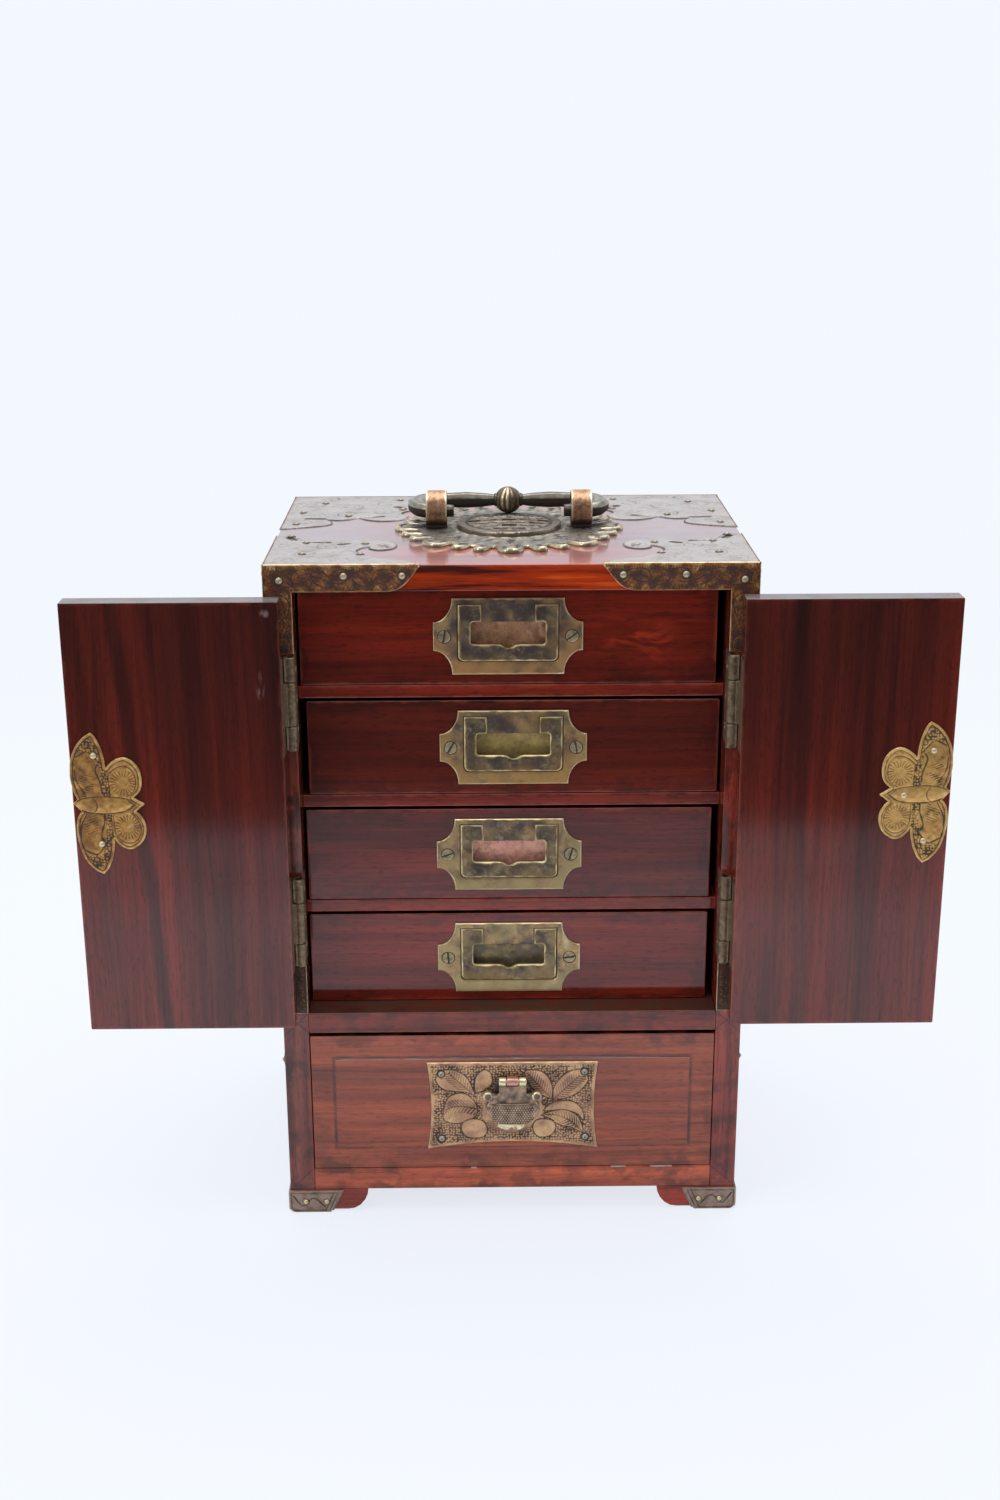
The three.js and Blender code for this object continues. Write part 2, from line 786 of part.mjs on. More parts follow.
function bailOutline(growth) {
  const half = bailWidth / 2 + growth;
  const bottom = bailBottom - growth;
  const center = half - bailCornerRadius;
  const radius = bailCornerRadius;
  return [
    [half, bailTop + growth],
    [-half, bailTop + growth],
    ...arc(-center, bottom + radius, radius, radius, 180, 270, bailCornerSteps),
    ...arc(center, bottom + radius, radius, radius, 270, 360, bailCornerSteps),
  ];
}

function pullPlate() {
  const cutHalf = bailWidth / 2 + bailClearance;
  const cutTop = bailTop + bailClearance;
  const cutBottom = bailBottom - bailClearance;
  const gapTop = bailTop - bailTabHeight;
  const tongueHalf = bailWidth / 2 - bailTab - bailClearance;
  const pivotY = bailThickness / 2 - pullPlateThickness;
  const cup = block(
    [-cutHalf - pullCupWall, cutHalf + pullCupWall],
    [-pullPlateThickness / 2, pullCupDepth + pullCupWall],
    [cutBottom - pullCupWall, cutTop + pullCupWall],
  );
  const inside = frontSheet(
    bailOutline(bailClearance),
    pullCupDepth,
    pullCupDepth + pullPlateThickness + overrun,
  );
  const pinReach = bailWidth / 2 + bailClearance + bailPinLength / 2;
  const pinHoles = rodX(
    bailPinRadius + bailPinClearance,
    [-pinReach, pinReach],
    pivotY,
    bailTop - bailPivotDrop,
    bailPinSides,
  );
  const tongue = block([-tongueHalf, tongueHalf], [-pullPlateThickness, 0], [gapTop, cutTop + overrun]);
  const screws = [-1, 1].map((side) =>
    rodY(
      screwRadius,
      [-pullPlateThickness - screwHead, 0],
      (side * screwSpacing) / 2,
      0,
      screwSides,
    ),
  );
  const plate = join(frontSheet(pullOutline(), 0, pullPlateThickness), cup);
  return join(cut(plate, inside, pinHoles), tongue, ...screws);
}

function pullBail() {
  const gapTop = bailTop - bailTabHeight;
  const gapBottom = bailBottom + bailBar;
  const gapHalf = bailWidth / 2 - bailArm;
  const slotHalf = bailWidth / 2 - bailTab;
  const front = -pullPlateThickness;
  const back = front + bailThickness;
  const through = [front - overrun, back + overrun];
  const notch = [
    [-bailNotchWidth / 2, gapBottom],
    [-bailNotchWidth / 4, gapBottom - bailNotchDepth / 4],
    [0, gapBottom - bailNotchDepth],
    [bailNotchWidth / 4, gapBottom - bailNotchDepth / 4],
    [bailNotchWidth / 2, gapBottom],
    [0, gapTop],
  ];
  const slab = cut(
    frontSheet(bailOutline(0), back, bailThickness),
    block([-gapHalf, gapHalf], through, [gapBottom, gapTop]),
    block([-slotHalf, slotHalf], through, [gapBottom, bailTop + overrun]),
    frontSheet(notch, back + overrun, bailThickness + 2 * overrun),
  );
  const pinEnd = bailWidth / 2 + bailClearance + bailPinLength / 4;
  const pins = [-1, 1].map((side) => {
    const ends = [side * (bailWidth / 2 - bailPinLength), side * pinEnd].sort((a, b) => a - b);
    return rodX(bailPinRadius, ends, back - bailThickness / 2, bailTop - bailPivotDrop, bailPinSides);
  });
  return join(slab, ...pins);
}

function drawerFront(halfWidth, height) {
  const cutHalf = bailWidth / 2 + bailClearance + pullCupWall + pullSeatGap;
  const middle = height / 2;
  const pocketReach = bailClearance + pullCupWall + pullSeatGap;
  const pocket = block(
    [-cutHalf, cutHalf],
    [-overrun, pullCupDepth + pullCupWall + pullSeatGap],
    [middle + bailBottom - pocketReach, middle + bailTop + pocketReach],
  );
  return cut(block([-halfWidth, halfWidth], [0, drawerFrontThickness], [0, height]), pocket);
}

function drawerBox(halfWidth, [front, back], height, floor) {
  const inside = block(
    [-halfWidth + drawerWall, halfWidth - drawerWall],
    [front + drawerWall, back - drawerWall],
    [floor, height + overrun],
  );
  return cut(block([-halfWidth, halfWidth], [front, back], [0, height]), inside);
}

function addInnerDrawers(parent) {
  const frontHeight = compartmentHeight - drawerRestGap - drawerTopClearance;
  const boxBack = backPanelFace - drawerRearClearance - dividerSetback;
  for (let row = 1; row <= drawerCount; row++) {
    const floor = topBase - row * compartmentHeight - (row - 1) * dividerThickness;
    const drawer = new THREE.Group();
    const shift = drawerShiftShares[(row - 1) % drawerShiftShares.length] * drawerPlay;
    drawer.position.set(shift, dividerSetback, floor + drawerRestGap);
    parent.add(drawer);
    add(drawer, `drawer_${row}_front`, drawerFront(halfDrawer, frontHeight), drawerWood);
    const box = drawerBox(
      halfDrawer - drawerBoxInset,
      [drawerFrontThickness, boxBack],
      frontHeight - drawerBoxDrop,
      drawerFloor,
    );
    add(drawer, `drawer_${row}_box`, box, boxWood);
    const pull = new THREE.Group();
    pull.position.z = frontHeight / 2;
    drawer.add(pull);
    add(pull, `drawer_${row}_pull_plate`, pullPlate(), greyBrass);
    add(pull, `drawer_${row}_pull_bail`, pullBail(), greyBrass);
  }
}

// Base drawer; its parts are placed from the floor of its opening and the front face of the case
function baseDrawerFront(halfWidth, height) {
  const board = block([-halfWidth, halfWidth], [0, baseDrawerFrontThickness], [0, height]);
  const field = block(
    [-halfWidth + fieldMarginSide, halfWidth - fieldMarginSide],
    [-fieldRelief, baseDrawerFrontThickness],
    [fieldMarginBottom, height - fieldMarginTop],
  );
  return join(board, field);
}

// The hollow of a curved edge at a share of its length, zero at both ends
function hollow(depth, share) {
  return depth * (1 - (2 * share - 1) ** 2);
}

function dropPlateOutline(top) {
  const half = dropPlateWidth / 2;
  const bottom = top - dropPlateHeight;
  const steps = Array.from({ length: dropPlateCurveSteps + 1 }, (_, step) => step / dropPlateCurveSteps);
  const left = steps.map((s) => [-half + hollow(dropPlateSideHollow, s), top - s * dropPlateHeight]);
  const lower = steps.map((s) => [-half + s * dropPlateWidth, bottom + hollow(dropPlateBottomHollow, s)]);
  const right = steps.map((s) => [half - hollow(dropPlateSideHollow, s), bottom + s * dropPlateHeight]);
  return [...left.slice(0, -1), ...lower.slice(0, -1), ...right];
}

function dropPlate(top) {
  const face = -fieldRelief - dropPlateThickness;
  const pinY = face - eyeStandoff - eyeRadius;
  const pinZ = top - eyeDrop;
  const span = [-eyeWidth / 2, eyeWidth / 2];
  const eye = join(
    frontSheet(dropPlateOutline(top), -fieldRelief, dropPlateThickness),
    rodX(eyeRadius, span, pinY, pinZ, dropKnuckleSides),
    block(span, [pinY, face + dropPlateThickness / 2], [pinZ, pinZ + eyeRadius]),
  );
  const bore = rodX(
    dropPinRadius + dropPinClearance,
    [-eyeWidth, eyeWidth],
    pinY,
    pinZ,
    dropKnuckleSides,
  );
  return cut(eye, bore);
}

function dropPull(top) {
  const face = -fieldRelief - dropPlateThickness;
  const pinY = face - eyeStandoff - eyeRadius;
  const pinZ = top - eyeDrop;
  const half = fishNeckWidth / 2;
  const inner = eyeWidth / 2 + dropKnuckleGap;
  const sheetBack = pinY + fishNeckThickness / 2;
  const centerZ = pinZ - fishBodyDrop;
  const pieces = [
    rodX(dropPinRadius, [-half, half], pinY, pinZ, dropKnuckleSides),
    rodX(eyeRadius, [-half, -inner], pinY, pinZ, dropKnuckleSides),
    rodX(eyeRadius, [inner, half], pinY, pinZ, dropKnuckleSides),
    block([-half, -inner], [pinY - fishNeckThickness / 2, sheetBack], [pinZ - fishNeckHeight, pinZ]),
    block([inner, half], [pinY - fishNeckThickness / 2, sheetBack], [pinZ - fishNeckHeight, pinZ]),
    block(
      [-half, half],
      [pinY - fishNeckThickness / 2, sheetBack],
      [centerZ, pinZ - eyeRadius - dropKnuckleGap],
    ),
    block(
      [-fishEyeSpacing / 2, fishEyeSpacing / 2],
      [pinY - fishNeckThickness / 2, sheetBack],
      [pinZ - fishEyeDrop - fishArmHeight / 2, pinZ - fishEyeDrop + fishArmHeight / 2],
    ),
  ];
  for (const side of [-1, 1]) {
    const reach = [pinY - fishNeckThickness, sheetBack];
    const centerX = (side * fishEyeSpacing) / 2;
    pieces.push(rodY(fishEyeRadius, reach, centerX, pinZ - fishEyeDrop, dropKnuckleSides));
  }
  const body = new THREE.SphereGeometry(1, fishBodySides, fishBodyRings);
  body.scale(fishBodyWidth / 2, fishBodyThickness / 2, fishBodyHeight / 2);
  pieces.push(body.translate(0, pinY, centerZ));
  const tail = [
    [0, centerZ],
    [-fishTailWidth / 2, pinZ - fishTailDrop + fishTailHeight / 4],
    [0, pinZ - fishTailDrop],
    [fishTailWidth / 2, pinZ - fishTailDrop + fishTailHeight / 4],
  ];
  pieces.push(frontSheet(tail, sheetBack, fishNeckThickness));
  const behind = block(
    [-fishBodyWidth, fishBodyWidth],
    [pinY + eyeRadius, 0],
    [pinZ - fishTailDrop, pinZ + fishNeckHeight],
  );
  return cut(join(...pieces), behind);
}

function addBaseDrawer(parent) {
  const height = baseOpeningHeight - drawerRestGap - baseDrawerTopClearance;
  const halfWidth = halfOpening - baseDrawerSideClearance;
  const plateTopZ = height - fieldMarginTop - dropPlateTopMargin;
  const drawer = new THREE.Group();
  drawer.position.z = baseOpeningFloor + drawerRestGap;
  parent.add(drawer);
  add(drawer, "base_drawer_front", baseDrawerFront(halfWidth, height), drawerWood);
  const box = drawerBox(
    halfWidth - drawerBoxInset,
    [baseDrawerFrontThickness, backPanelFace - drawerRearClearance],
    height - drawerBoxDrop,
    baseDrawerFloor,
  );
  add(drawer, "base_drawer_box", box, boxWood);
  add(drawer, "base_drawer_plate", dropPlate(plateTopZ), paleBrass);
  add(drawer, "base_drawer_drop_pull", dropPull(plateTopZ), greyBrass);
}

const root = new THREE.Group();
const cabinet = new THREE.Group();
cabinet.position.y = -originY;
root.add(cabinet);
addCase(cabinet);
addCorners(cabinet);
addTopFittings(cabinet);
addDoor(cabinet, "right", 1);
addDoor(cabinet, "left", -1);
addInnerDrawers(cabinet);
addBaseDrawer(cabinet);

export default root;
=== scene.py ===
"""A small hardwood table cabinet with engraved brass mounts, dressed over its measured frame.

Lengths in this script are in millimetres and turn into metres where a mesh or a material is made. Places are
in the frame of the model: +Z up, the drawers face -Y, X is zero in the middle and Z is zero on the ground.
"""

import math

import bpy
import numpy as np
from mathutils import Matrix, Vector
from mathutils.geometry import delaunay_2d_cdt


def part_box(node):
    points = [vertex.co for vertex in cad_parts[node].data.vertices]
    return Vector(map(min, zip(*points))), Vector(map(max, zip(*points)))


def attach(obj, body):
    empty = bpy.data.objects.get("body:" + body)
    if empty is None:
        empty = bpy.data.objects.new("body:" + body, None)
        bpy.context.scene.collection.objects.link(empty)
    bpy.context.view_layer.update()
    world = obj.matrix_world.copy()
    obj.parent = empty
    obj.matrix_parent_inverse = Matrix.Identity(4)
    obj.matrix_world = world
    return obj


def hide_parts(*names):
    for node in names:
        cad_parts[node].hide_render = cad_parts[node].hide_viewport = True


bl_info = {
    "name": "Hardwood Table Cabinet",
    "version": (1, 0, 0),
    "blender": (4, 5, 0),
    "location": "View3D > Sidebar > Cabinet",
    "description": "Dresses the frame of a small hardwood cabinet with wood and engraved brass",
    "category": "Object",
}

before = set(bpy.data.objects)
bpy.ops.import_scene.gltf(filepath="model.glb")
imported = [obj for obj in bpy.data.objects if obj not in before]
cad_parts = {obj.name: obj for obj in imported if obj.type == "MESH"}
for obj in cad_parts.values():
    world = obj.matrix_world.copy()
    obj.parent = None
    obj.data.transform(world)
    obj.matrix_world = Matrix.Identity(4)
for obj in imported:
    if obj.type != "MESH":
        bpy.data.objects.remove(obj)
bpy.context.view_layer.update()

MM = 0.001
SIDES = {"left": -1, "right": 1}
ENDS = {"front": -1, "back": 1}
DRAWERS = (1, 2, 3, 4)
X, Y, Z = np.eye(3)


# Places read from the frame
def low(node):
    return np.array(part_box(node)[0]) / MM


def high(node):
    return np.array(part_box(node)[1]) / MM


def middle(node):
    return (low(node) + high(node)) / 2


FRONT = low("right_side")[1]
BACK = high("back_panel")[1]
HALF_CASE = high("right_side")[0]
HALF_OPENING = high("middle_board")[0]
CASE_TOP = high("top_board")[2]
TOP_BASE = low("top_board")[2]
CASE_BASE = low("bottom_board")[2]
BASE_FLOOR = high("bottom_board")[2]
RAIL_BASE = low("middle_board")[2]
RAIL_TOP = high("middle_board")[2]
MEDALLION_Y = middle("medallion")[1]

# Fine sizes of the fittings
MOUNT_THICKNESS = 0.6
NAIL_RADIUS = 1.45
NAIL_RISE = 0.95
RIM_ROUND = 0.28
FINE_STEP = 0.42
COARSE_STEP = 0.6
TURN_STEPS = 32
SHARP_FROM = 38


# Settings that a user would change
def color_setting(name, description, default):
    return bpy.props.FloatVectorProperty(
        name=name, description=description, subtype="COLOR", default=default, min=0, max=1,
    )


def number_setting(name, description, default, least, most, **kind):
    return bpy.props.FloatProperty(
        name=name, description=description, default=default, min=least, max=most, **kind,
    )


class CabinetWood(bpy.types.PropertyGroup):
    """Colours and finish of the lacquered hardwood"""

    dark: color_setting("Streak colour", "Colour of the dark streaks in the grain", (0.018, 0.006, 0.005))
    mid: color_setting("Body colour", "Main colour of the wood", (0.075, 0.010, 0.006))
    light: color_setting("Light colour", "Colour of the bright bands in the grain", (0.135, 0.017, 0.008))
    bevel: number_setting(
        "Edge rounding", "Width of the softened edges of the boards", 0.0005, 0.0001, 0.002, unit="LENGTH",
    )
    gloss: number_setting("Lacquer roughness", "Roughness of the lacquer", 0.09, 0, 1, subtype="FACTOR")


class CabinetBrass(bpy.types.PropertyGroup):
    """Colours of the brass fittings"""

    # The worn brass colour also serves as the painted highlight where a tone is high.
    bright: color_setting("Worn brass", "Colour where the brass is rubbed bright", (0.74, 0.6, 0.36))
    bronze: color_setting("Bronze brown", "Body colour of the mounts and loops", (0.17, 0.085, 0.042))
    gold: color_setting("Engraved gold", "Body colour of the butterflies and drop plate", (0.55, 0.34, 0.115))
    olive: color_setting("Olive grey", "Body colour of the flush pulls and the medallion", (0.27, 0.2, 0.13))
    # The patina colour also serves as the painted shade where a tone is low.
    patina: color_setting("Patina", "Colour of the dirt in hollows and engraved lines", (0.035, 0.022, 0.016))


class CabinetStage(bpy.types.PropertyGroup):
    """Camera, floor and light"""

    lens: number_setting(
        "Lens", "Focal length of the camera in millimetres", 44.58, 10, 200, subtype="DISTANCE_CAMERA",
    )
    camera: bpy.props.FloatVectorProperty(
        name="Camera place", description="Where the camera stands",
        subtype="XYZ", unit="LENGTH", default=(-0.0121, -0.7975, 0.4640),
    )
    aim: bpy.props.FloatVectorProperty(
        name="Camera turn", description="Pitch down, yaw to the right and roll of the camera",
        subtype="EULER", unit="ROTATION",
        default=(math.radians(18.46), math.radians(0.56), math.radians(-0.22)),
    )
    backdrop: color_setting("Backdrop", "Colour of the background and the floor", (0.9, 0.935, 1.0))
    shadow: number_setting(
        "Shadow", "How much of the cabinet's shadow the floor shows", 0.19, 0, 1, subtype="FACTOR",
    )
    world_light: number_setting(
        "World light", "Strength of the light from all round", 0.62, 0, 5, subtype="FACTOR",
    )
    top_lamp: number_setting("Top lamp", "Power of the wide lamp overhead", 17, 0, 500, unit="POWER")
    front_lamp: number_setting("Front lamp", "Power of the lamp at the front left", 5, 0, 500, unit="POWER")


# Flat outlines
def turn_by(degrees):
    """A matrix that turns rows of flat points."""
    c, s = math.cos(math.radians(degrees)), math.sin(math.radians(degrees))
    return np.array(((c, s), (-s, c)))


def unit(value):
    """The value held between 0 and 1."""
    return np.clip(value, 0, 1)


def spline(points, steps=6):
    """A smooth open line through the points."""
    points = np.asarray(points, float)
    padded = np.vstack([2 * points[0] - points[1], points, 2 * points[-1] - points[-2]])
    line = [points[0]]
    for before, start, end, after in zip(padded, padded[1:], padded[2:], padded[3:]):
        for step in range(1, steps + 1):
            t = step / steps
            line.append(
                0.5 * (2 * start + (end - before) * t
                       + (2 * before - 5 * start + 4 * end - after) * t * t
                       + (3 * start - before - 3 * end + after) * t ** 3)
            )
    return np.array(line)


def outline_of(*stretches):
    """A closed outline whose stretches are smooth lines that meet in corners."""
    parts = [np.asarray(s, float) if len(s) < 3 else spline(s) for s in stretches]
    joined = np.vstack(parts)
    apart = np.linalg.norm(joined - np.roll(joined, 1, axis=0), axis=1) > 1e-4
    return joined[apart]


def arc(center, radius, start, end, steps=TURN_STEPS):
    """Points on an arc or ellipse from a start to an end angle in degrees, both included."""
    angles = np.radians(np.linspace(start, end, steps + 1))
    return np.column_stack([np.cos(angles), np.sin(angles)]) * radius + center


def circle(center, radius, steps=TURN_STEPS):
    return arc(center, radius, 0, 360, steps)[:-1]


def slot_outline(center, length, width, turn=0):
    """A long hole with round ends."""
    reach = (length - width) / 2
    ends = [arc((reach, 0), width / 2, -90, 90, 6), arc((-reach, 0), width / 2, 90, 270, 6)]
    return np.vstack(ends) @ turn_by(turn) + center


def even_ring(ring, step):
    """A closed ring with extra points, so that none are further apart than the step."""
    ring = np.asarray(ring, float)
    points = []
    for start, end in zip(ring, np.roll(ring, -1, axis=0)):
        count = max(1, math.ceil(np.linalg.norm(end - start) / step))
        points.extend(start + (end - start) * i / count for i in range(count))
    return np.array(points)


def inside(points, ring):
    """Which points lie inside a closed ring."""
    x, y = points[:, 0], points[:, 1]
    found = np.zeros(len(points), bool)
    for (x0, y0), (x1, y1) in zip(ring, np.roll(ring, -1, axis=0)):
        if y0 != y1:
            found ^= ((y0 > y) != (y1 > y)) & (x < (x1 - x0) * (y - y0) / (y1 - y0) + x0)
    return found


def line_distance(points, line, closed=False):
    """How far the points lie from a line."""
    line = np.asarray(line, float)
    ends = np.roll(line, -1, axis=0) if closed else line[1:]
    nearest = np.full(len(points), 1e9)
    for start, end in zip(line, ends):
        way = end - start
        share = unit((points - start) @ way / max(way @ way, 1e-12))
        nearest = np.minimum(nearest, np.hypot(*(points - start - share[:, None] * way).T))
    return nearest


def triangles(rings, extra):
    """Points and triangles that fill the first ring and leave out the others."""
    points = np.vstack([*rings, extra]) if len(extra) else np.vstack(rings)
    edges, first = [], 0
    for ring in rings:
        edges += [(first + i, first + (i + 1) % len(ring)) for i in range(len(ring))]
        first += len(ring)
    flat = [Vector(p) for p in points.tolist()]
    found, _, faces, *_ = delaunay_2d_cdt(flat, edges, [], 0, 1e-7, False)
    if len(found) != len(points):
        raise ValueError("an outline crosses itself or has two points in one place")
    faces = np.array(faces)
    centers = points[faces].mean(axis=1)
    keep = inside(centers, rings[0])
    for ring in rings[1:]:
        keep &= ~inside(centers, ring)
    faces = faces[keep]
    a, b, c = points[faces].transpose(1, 0, 2)
    turned = (b - a)[:, 0] * (c - a)[:, 1] - (b - a)[:, 1] * (c - a)[:, 0] < 0
    faces[turned] = faces[turned][:, ::-1]
    return points, faces


# Where a flat drawing lies: its corner, its right, its up and its outward direction
def place(origin, right, up, out=None):
    right, up = np.array(right, float), np.array(up, float)
    return np.array(origin, float), right, up, np.cross(right, up) if out is None else np.array(out, float)


def on_front(y, x=0, z=0):
    return place((x, y, z), X, Z)


def on_top(z, x=0, y=0):
    return place((x, y, z), X, Y)


def moved(where, distance):
    """The place moved outward."""
    origin, right, up, out = where
    return origin + out * distance, right, up, out


def linked(name, data):
    """An object of the scene that holds the data."""
    made = bpy.data.objects.new(name, data)
    bpy.context.scene.collection.objects.link(made)
    return made


class Shape:
    """Points, faces and a tone for each point, gathered before they become one mesh.

    Tone sets how bright the brass is: 0 for dirt in a hollow and painted shade, 1 for an edge polished by
    wear and a painted highlight.
    """

    def __init__(self):
        self.points, self.faces, self.tones, self.grounds, self.count = [], [], [], [], 0

    def add(self, points, faces, tones=0.5, grounds=0.0):
        points = np.asarray(points, float)
        self.grounds.append(np.broadcast_to(np.asarray(grounds, float), len(points)))
        self.faces += [tuple(int(i) + self.count for i in face) for face in faces]
        self.points.append(points)
        self.tones.append(np.broadcast_to(np.asarray(tones, float), len(points)))
        self.count += len(points)

    def drawn(self, where, points, faces, tones, grounds):
        """Adds points given as right, up and out in a place."""
        origin, right, up, out = where
        if np.dot(np.cross(right, up), out) < 0:
            faces = [face[::-1] for face in faces]
        world = origin + points[:, :1] * right + points[:, 1:2] * up + points[:, 2:] * out
        self.add(world, faces, tones, grounds)

    def relief(
        self, where, outline, thickness, holes=(), design=None, step=FINE_STEP, rim=RIM_ROUND, glow=0.45,
        hole_glow=None,
    ):
        """A thin plate with rounded rims. The design gives each point of its face a height and a tone."""
        outlines = (outline, *holes)
        rings = [even_ring(ring, step) for ring in outlines]
        start, end = rings[0].min(axis=0), rings[0].max(axis=0)
        across = np.arange(start[0] + step / 3, end[0], step)
        rows = np.arange(start[1] + step / 3, end[1], step * 0.87)
        grid = np.array([(x + step / 2 * (i % 2), y) for i, y in enumerate(rows) for x in across])
        grid = grid.reshape(-1, 2)
        grid = grid[inside(grid, rings[0])]
        for ring in rings[1:]:
            grid = grid[~inside(grid, ring)]
        for ring in outlines:
            grid = grid[line_distance(grid, ring, closed=True) > step * 0.45]
        points, faces = triangles(rings, grid)
        edge = np.min([line_distance(points, ring, closed=True) for ring in outlines], axis=0)
        heights, tones, grounds = np.zeros(len(points)), np.full(len(points), 0.5), np.zeros(len(points))
        if design:
            heights, tones, *extra = design(points, edge)
            grounds = extra[0] if extra else grounds
        share = unit(1 - edge / rim)
        fall = rim * (1 - np.sqrt(1 - share ** 2))
        ring_count = sum(len(ring) for ring in rings)
        top = np.column_stack([points, thickness + heights - fall])
        rim_tones = tones
        # Rims within the glow width are brightened, for wear and a painted highlight on the rounded rim.
        worn = 0.35 + 1.3 * random_waves(points, 9, 31)
        hole_glow = glow if hole_glow is None else hole_glow
        for ring, width in zip(outlines, (glow, *[hole_glow] * len(holes))):
            if width:
                away = line_distance(points, ring, closed=True)
                rubbed = unit(1.25 - away / (width * worn))
                rim_tones = np.maximum(rim_tones, 0.95 * rubbed)
        _, back_faces = triangles(rings, [])
        back = np.column_stack([points[:ring_count], np.zeros(ring_count)])
        count = len(points)
        walls, first = [], 0
        for ring in rings:
            for i in range(len(ring)):
                a, b = first + i, first + (i + 1) % len(ring)
                walls.append((a, b, count + b, count + a))
            first += len(ring)
        used = {tuple(e) for f in faces.tolist() for e in zip(f, f[1:] + f[:1])}
        walls = [(w[1], w[0], w[3], w[2]) if (w[0], w[1]) in used else w for w in walls]
        everything = [*faces.tolist(), *walls, *((back_faces[:, ::-1] + count).tolist())]
        tones = np.concatenate([rim_tones, np.full(ring_count, 0.4)])
        grounds = np.concatenate([grounds, np.zeros(ring_count)])
        self.drawn(where, np.vstack([top, back]), everything, tones, grounds)

    def loft(self, rings, tones=0.5, closed=False):
        """A skin over rings of equal length, with flat ends unless the last ring meets the first."""
        rings = [np.asarray(ring, float) for ring in rings]
        size, count = len(rings[0]), len(rings)
        faces = []
        for r in range(count if closed else count - 1):
            here, there = r * size, (r + 1) % count * size
            for i, j in zip(range(size), (*range(1, size), 0)):
                faces.append((here + i, here + j, there + j, there + i))
        if not closed:
            faces.append(tuple(range(size))[::-1])
            faces.append(tuple(range((count - 1) * size, count * size)))
        tones = np.repeat(tones, size) if np.ndim(tones) == 1 and len(tones) == count else tones
        self.add(np.vstack(rings), faces, tones)

    def turned(self, where, profile, tones=0.5, steps=TURN_STEPS, radius_change=None):
        """A turned solid: the profile lists radius and height, bottom first, along the outward direction.

        A change of the radius has one factor for each step round it.
        """
        origin, right, up, out = where
        angles = np.arange(steps) * 2 * math.pi / steps
        wheel = np.cos(angles)[:, None] * right + np.sin(angles)[:, None] * up
        rings = []
        for radius, height in profile:
            radii = np.full(steps, max(radius, 0.01))
            if radius_change is not None:
                radii = radii * radius_change
            rings.append(origin + out * height + wheel * radii[:, None])
        self.loft(rings, tones)

    def block(self, start, end, edge=0.3, tones=0.5):
        """A block with softened edges between two corners."""
        start, end = np.asarray(start, float), np.asarray(end, float)
        rings = []
        for z, cut in ((start[2], edge), (start[2] + edge, 0), (end[2] - edge, 0), (end[2], edge)):
            x0, y0, x1, y1 = start[0] + cut, start[1] + cut, end[0] - cut, end[1] - cut
            rings.append([
                (x0 + edge, y0, z), (x1 - edge, y0, z), (x1, y0 + edge, z), (x1, y1 - edge, z),
                (x1 - edge, y1, z), (x0 + edge, y1, z), (x0, y1 - edge, z), (x0, y0 + edge, z),
            ])
        self.loft(rings, tones)

    def nail(self, where, u, v, tone=0.9, radius=NAIL_RADIUS, middle=None):
        """A domed nail head in a ring of dirt, at a point of a drawing. Its middle may have its own tone."""
        origin, right, up, out = where
        spot = origin + right * u + up * v
        right = np.cross(up, out)
        dome = [(radius * math.cos(a), NAIL_RISE * math.sin(a)) for a in np.radians((0, 18, 38, 58, 78, 90))]
        dirt = [(radius + 0.55, -0.4), (radius + 0.55, 0.02), (radius + 0.05, 0.08)]
        tones = [0.02] * len(dirt) + [0.3] + [tone] * (len(dome) - 1)
        if middle is not None:
            tones[-2:] = (middle, middle)
        self.turned((spot, right, up, out), [*dirt, *dome], tones, steps=18)

    def piece(self, name, body, material, slot, replaces=()):
        """Makes the mesh, gives it its material and lets it ride on its body."""
        mesh = bpy.data.meshes.new(name)
        mesh.from_pydata((np.vstack(self.points) * MM).tolist(), [], self.faces)
        mesh.validate()
        for label, values in (("tone", self.tones), ("ground", self.grounds)):
            data = np.concatenate(values).astype(np.float32)
            mesh.attributes.new(label, "FLOAT", "POINT").data.foreach_set("value", data)
        mesh.polygons.foreach_set("use_smooth", [True] * len(mesh.polygons))
        mesh.set_sharp_from_angle(angle=math.radians(SHARP_FROM))
        mesh.materials.append(material)
        made = linked(name, mesh)
        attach(made, body)
        if replaces:
            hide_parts(*replaces)


# Engraving, as heights and tones over a flat drawing
def smooth(value, start, end):
    share = unit((value - start) / (end - start))
    return share * share * (3 - 2 * share)


def groove(distance, width):
    """1 in the middle of an engraved line and 0 beside it."""
    return np.exp(-((distance / width) ** 2))


def engraved(points, lines, width):
    """The grooves of several lines."""
    return np.maximum.reduce([groove(line_distance(points, line), width) for line in lines])


def random_waves(points, size, seed):
    """A smooth uneven value from 0 to 1 over the drawing, the same each run."""
    source = np.random.default_rng(seed)
    total = np.zeros(len(points))
    for _ in range(9):
        turn, shift = source.uniform(0, 2 * math.pi, 2)
        wave = source.uniform(0.6, 1.7) * 2 * math.pi / size
        total += np.sin((points[:, 0] * math.cos(turn) + points[:, 1] * math.sin(turn)) * wave + shift)
    return unit(0.5 + total / 9)


def punched_rings(points, spacing, radius):
    """A ground of small punched rings in staggered rows."""
    row = np.round(points[:, 1] / (spacing * 0.87))
    offset = (row % 2) * spacing / 2
    column = np.round((points[:, 0] - offset) / spacing)
    du = points[:, 0] - offset - column * spacing
    dv = points[:, 1] - row * spacing * 0.87
    return groove(np.hypot(du, dv) - radius, radius * 0.45)


def spiral(center, radius, turns, start, hand=1, steps=30):
    """A curl that winds in to its center."""
    share = np.linspace(0, 1, steps)
    angles = math.radians(start) + hand * share * turns * 2 * math.pi
    reach = radius * (1 - 0.82 * share)
    return np.column_stack([np.cos(angles), np.sin(angles)]) * reach[:, None] + center


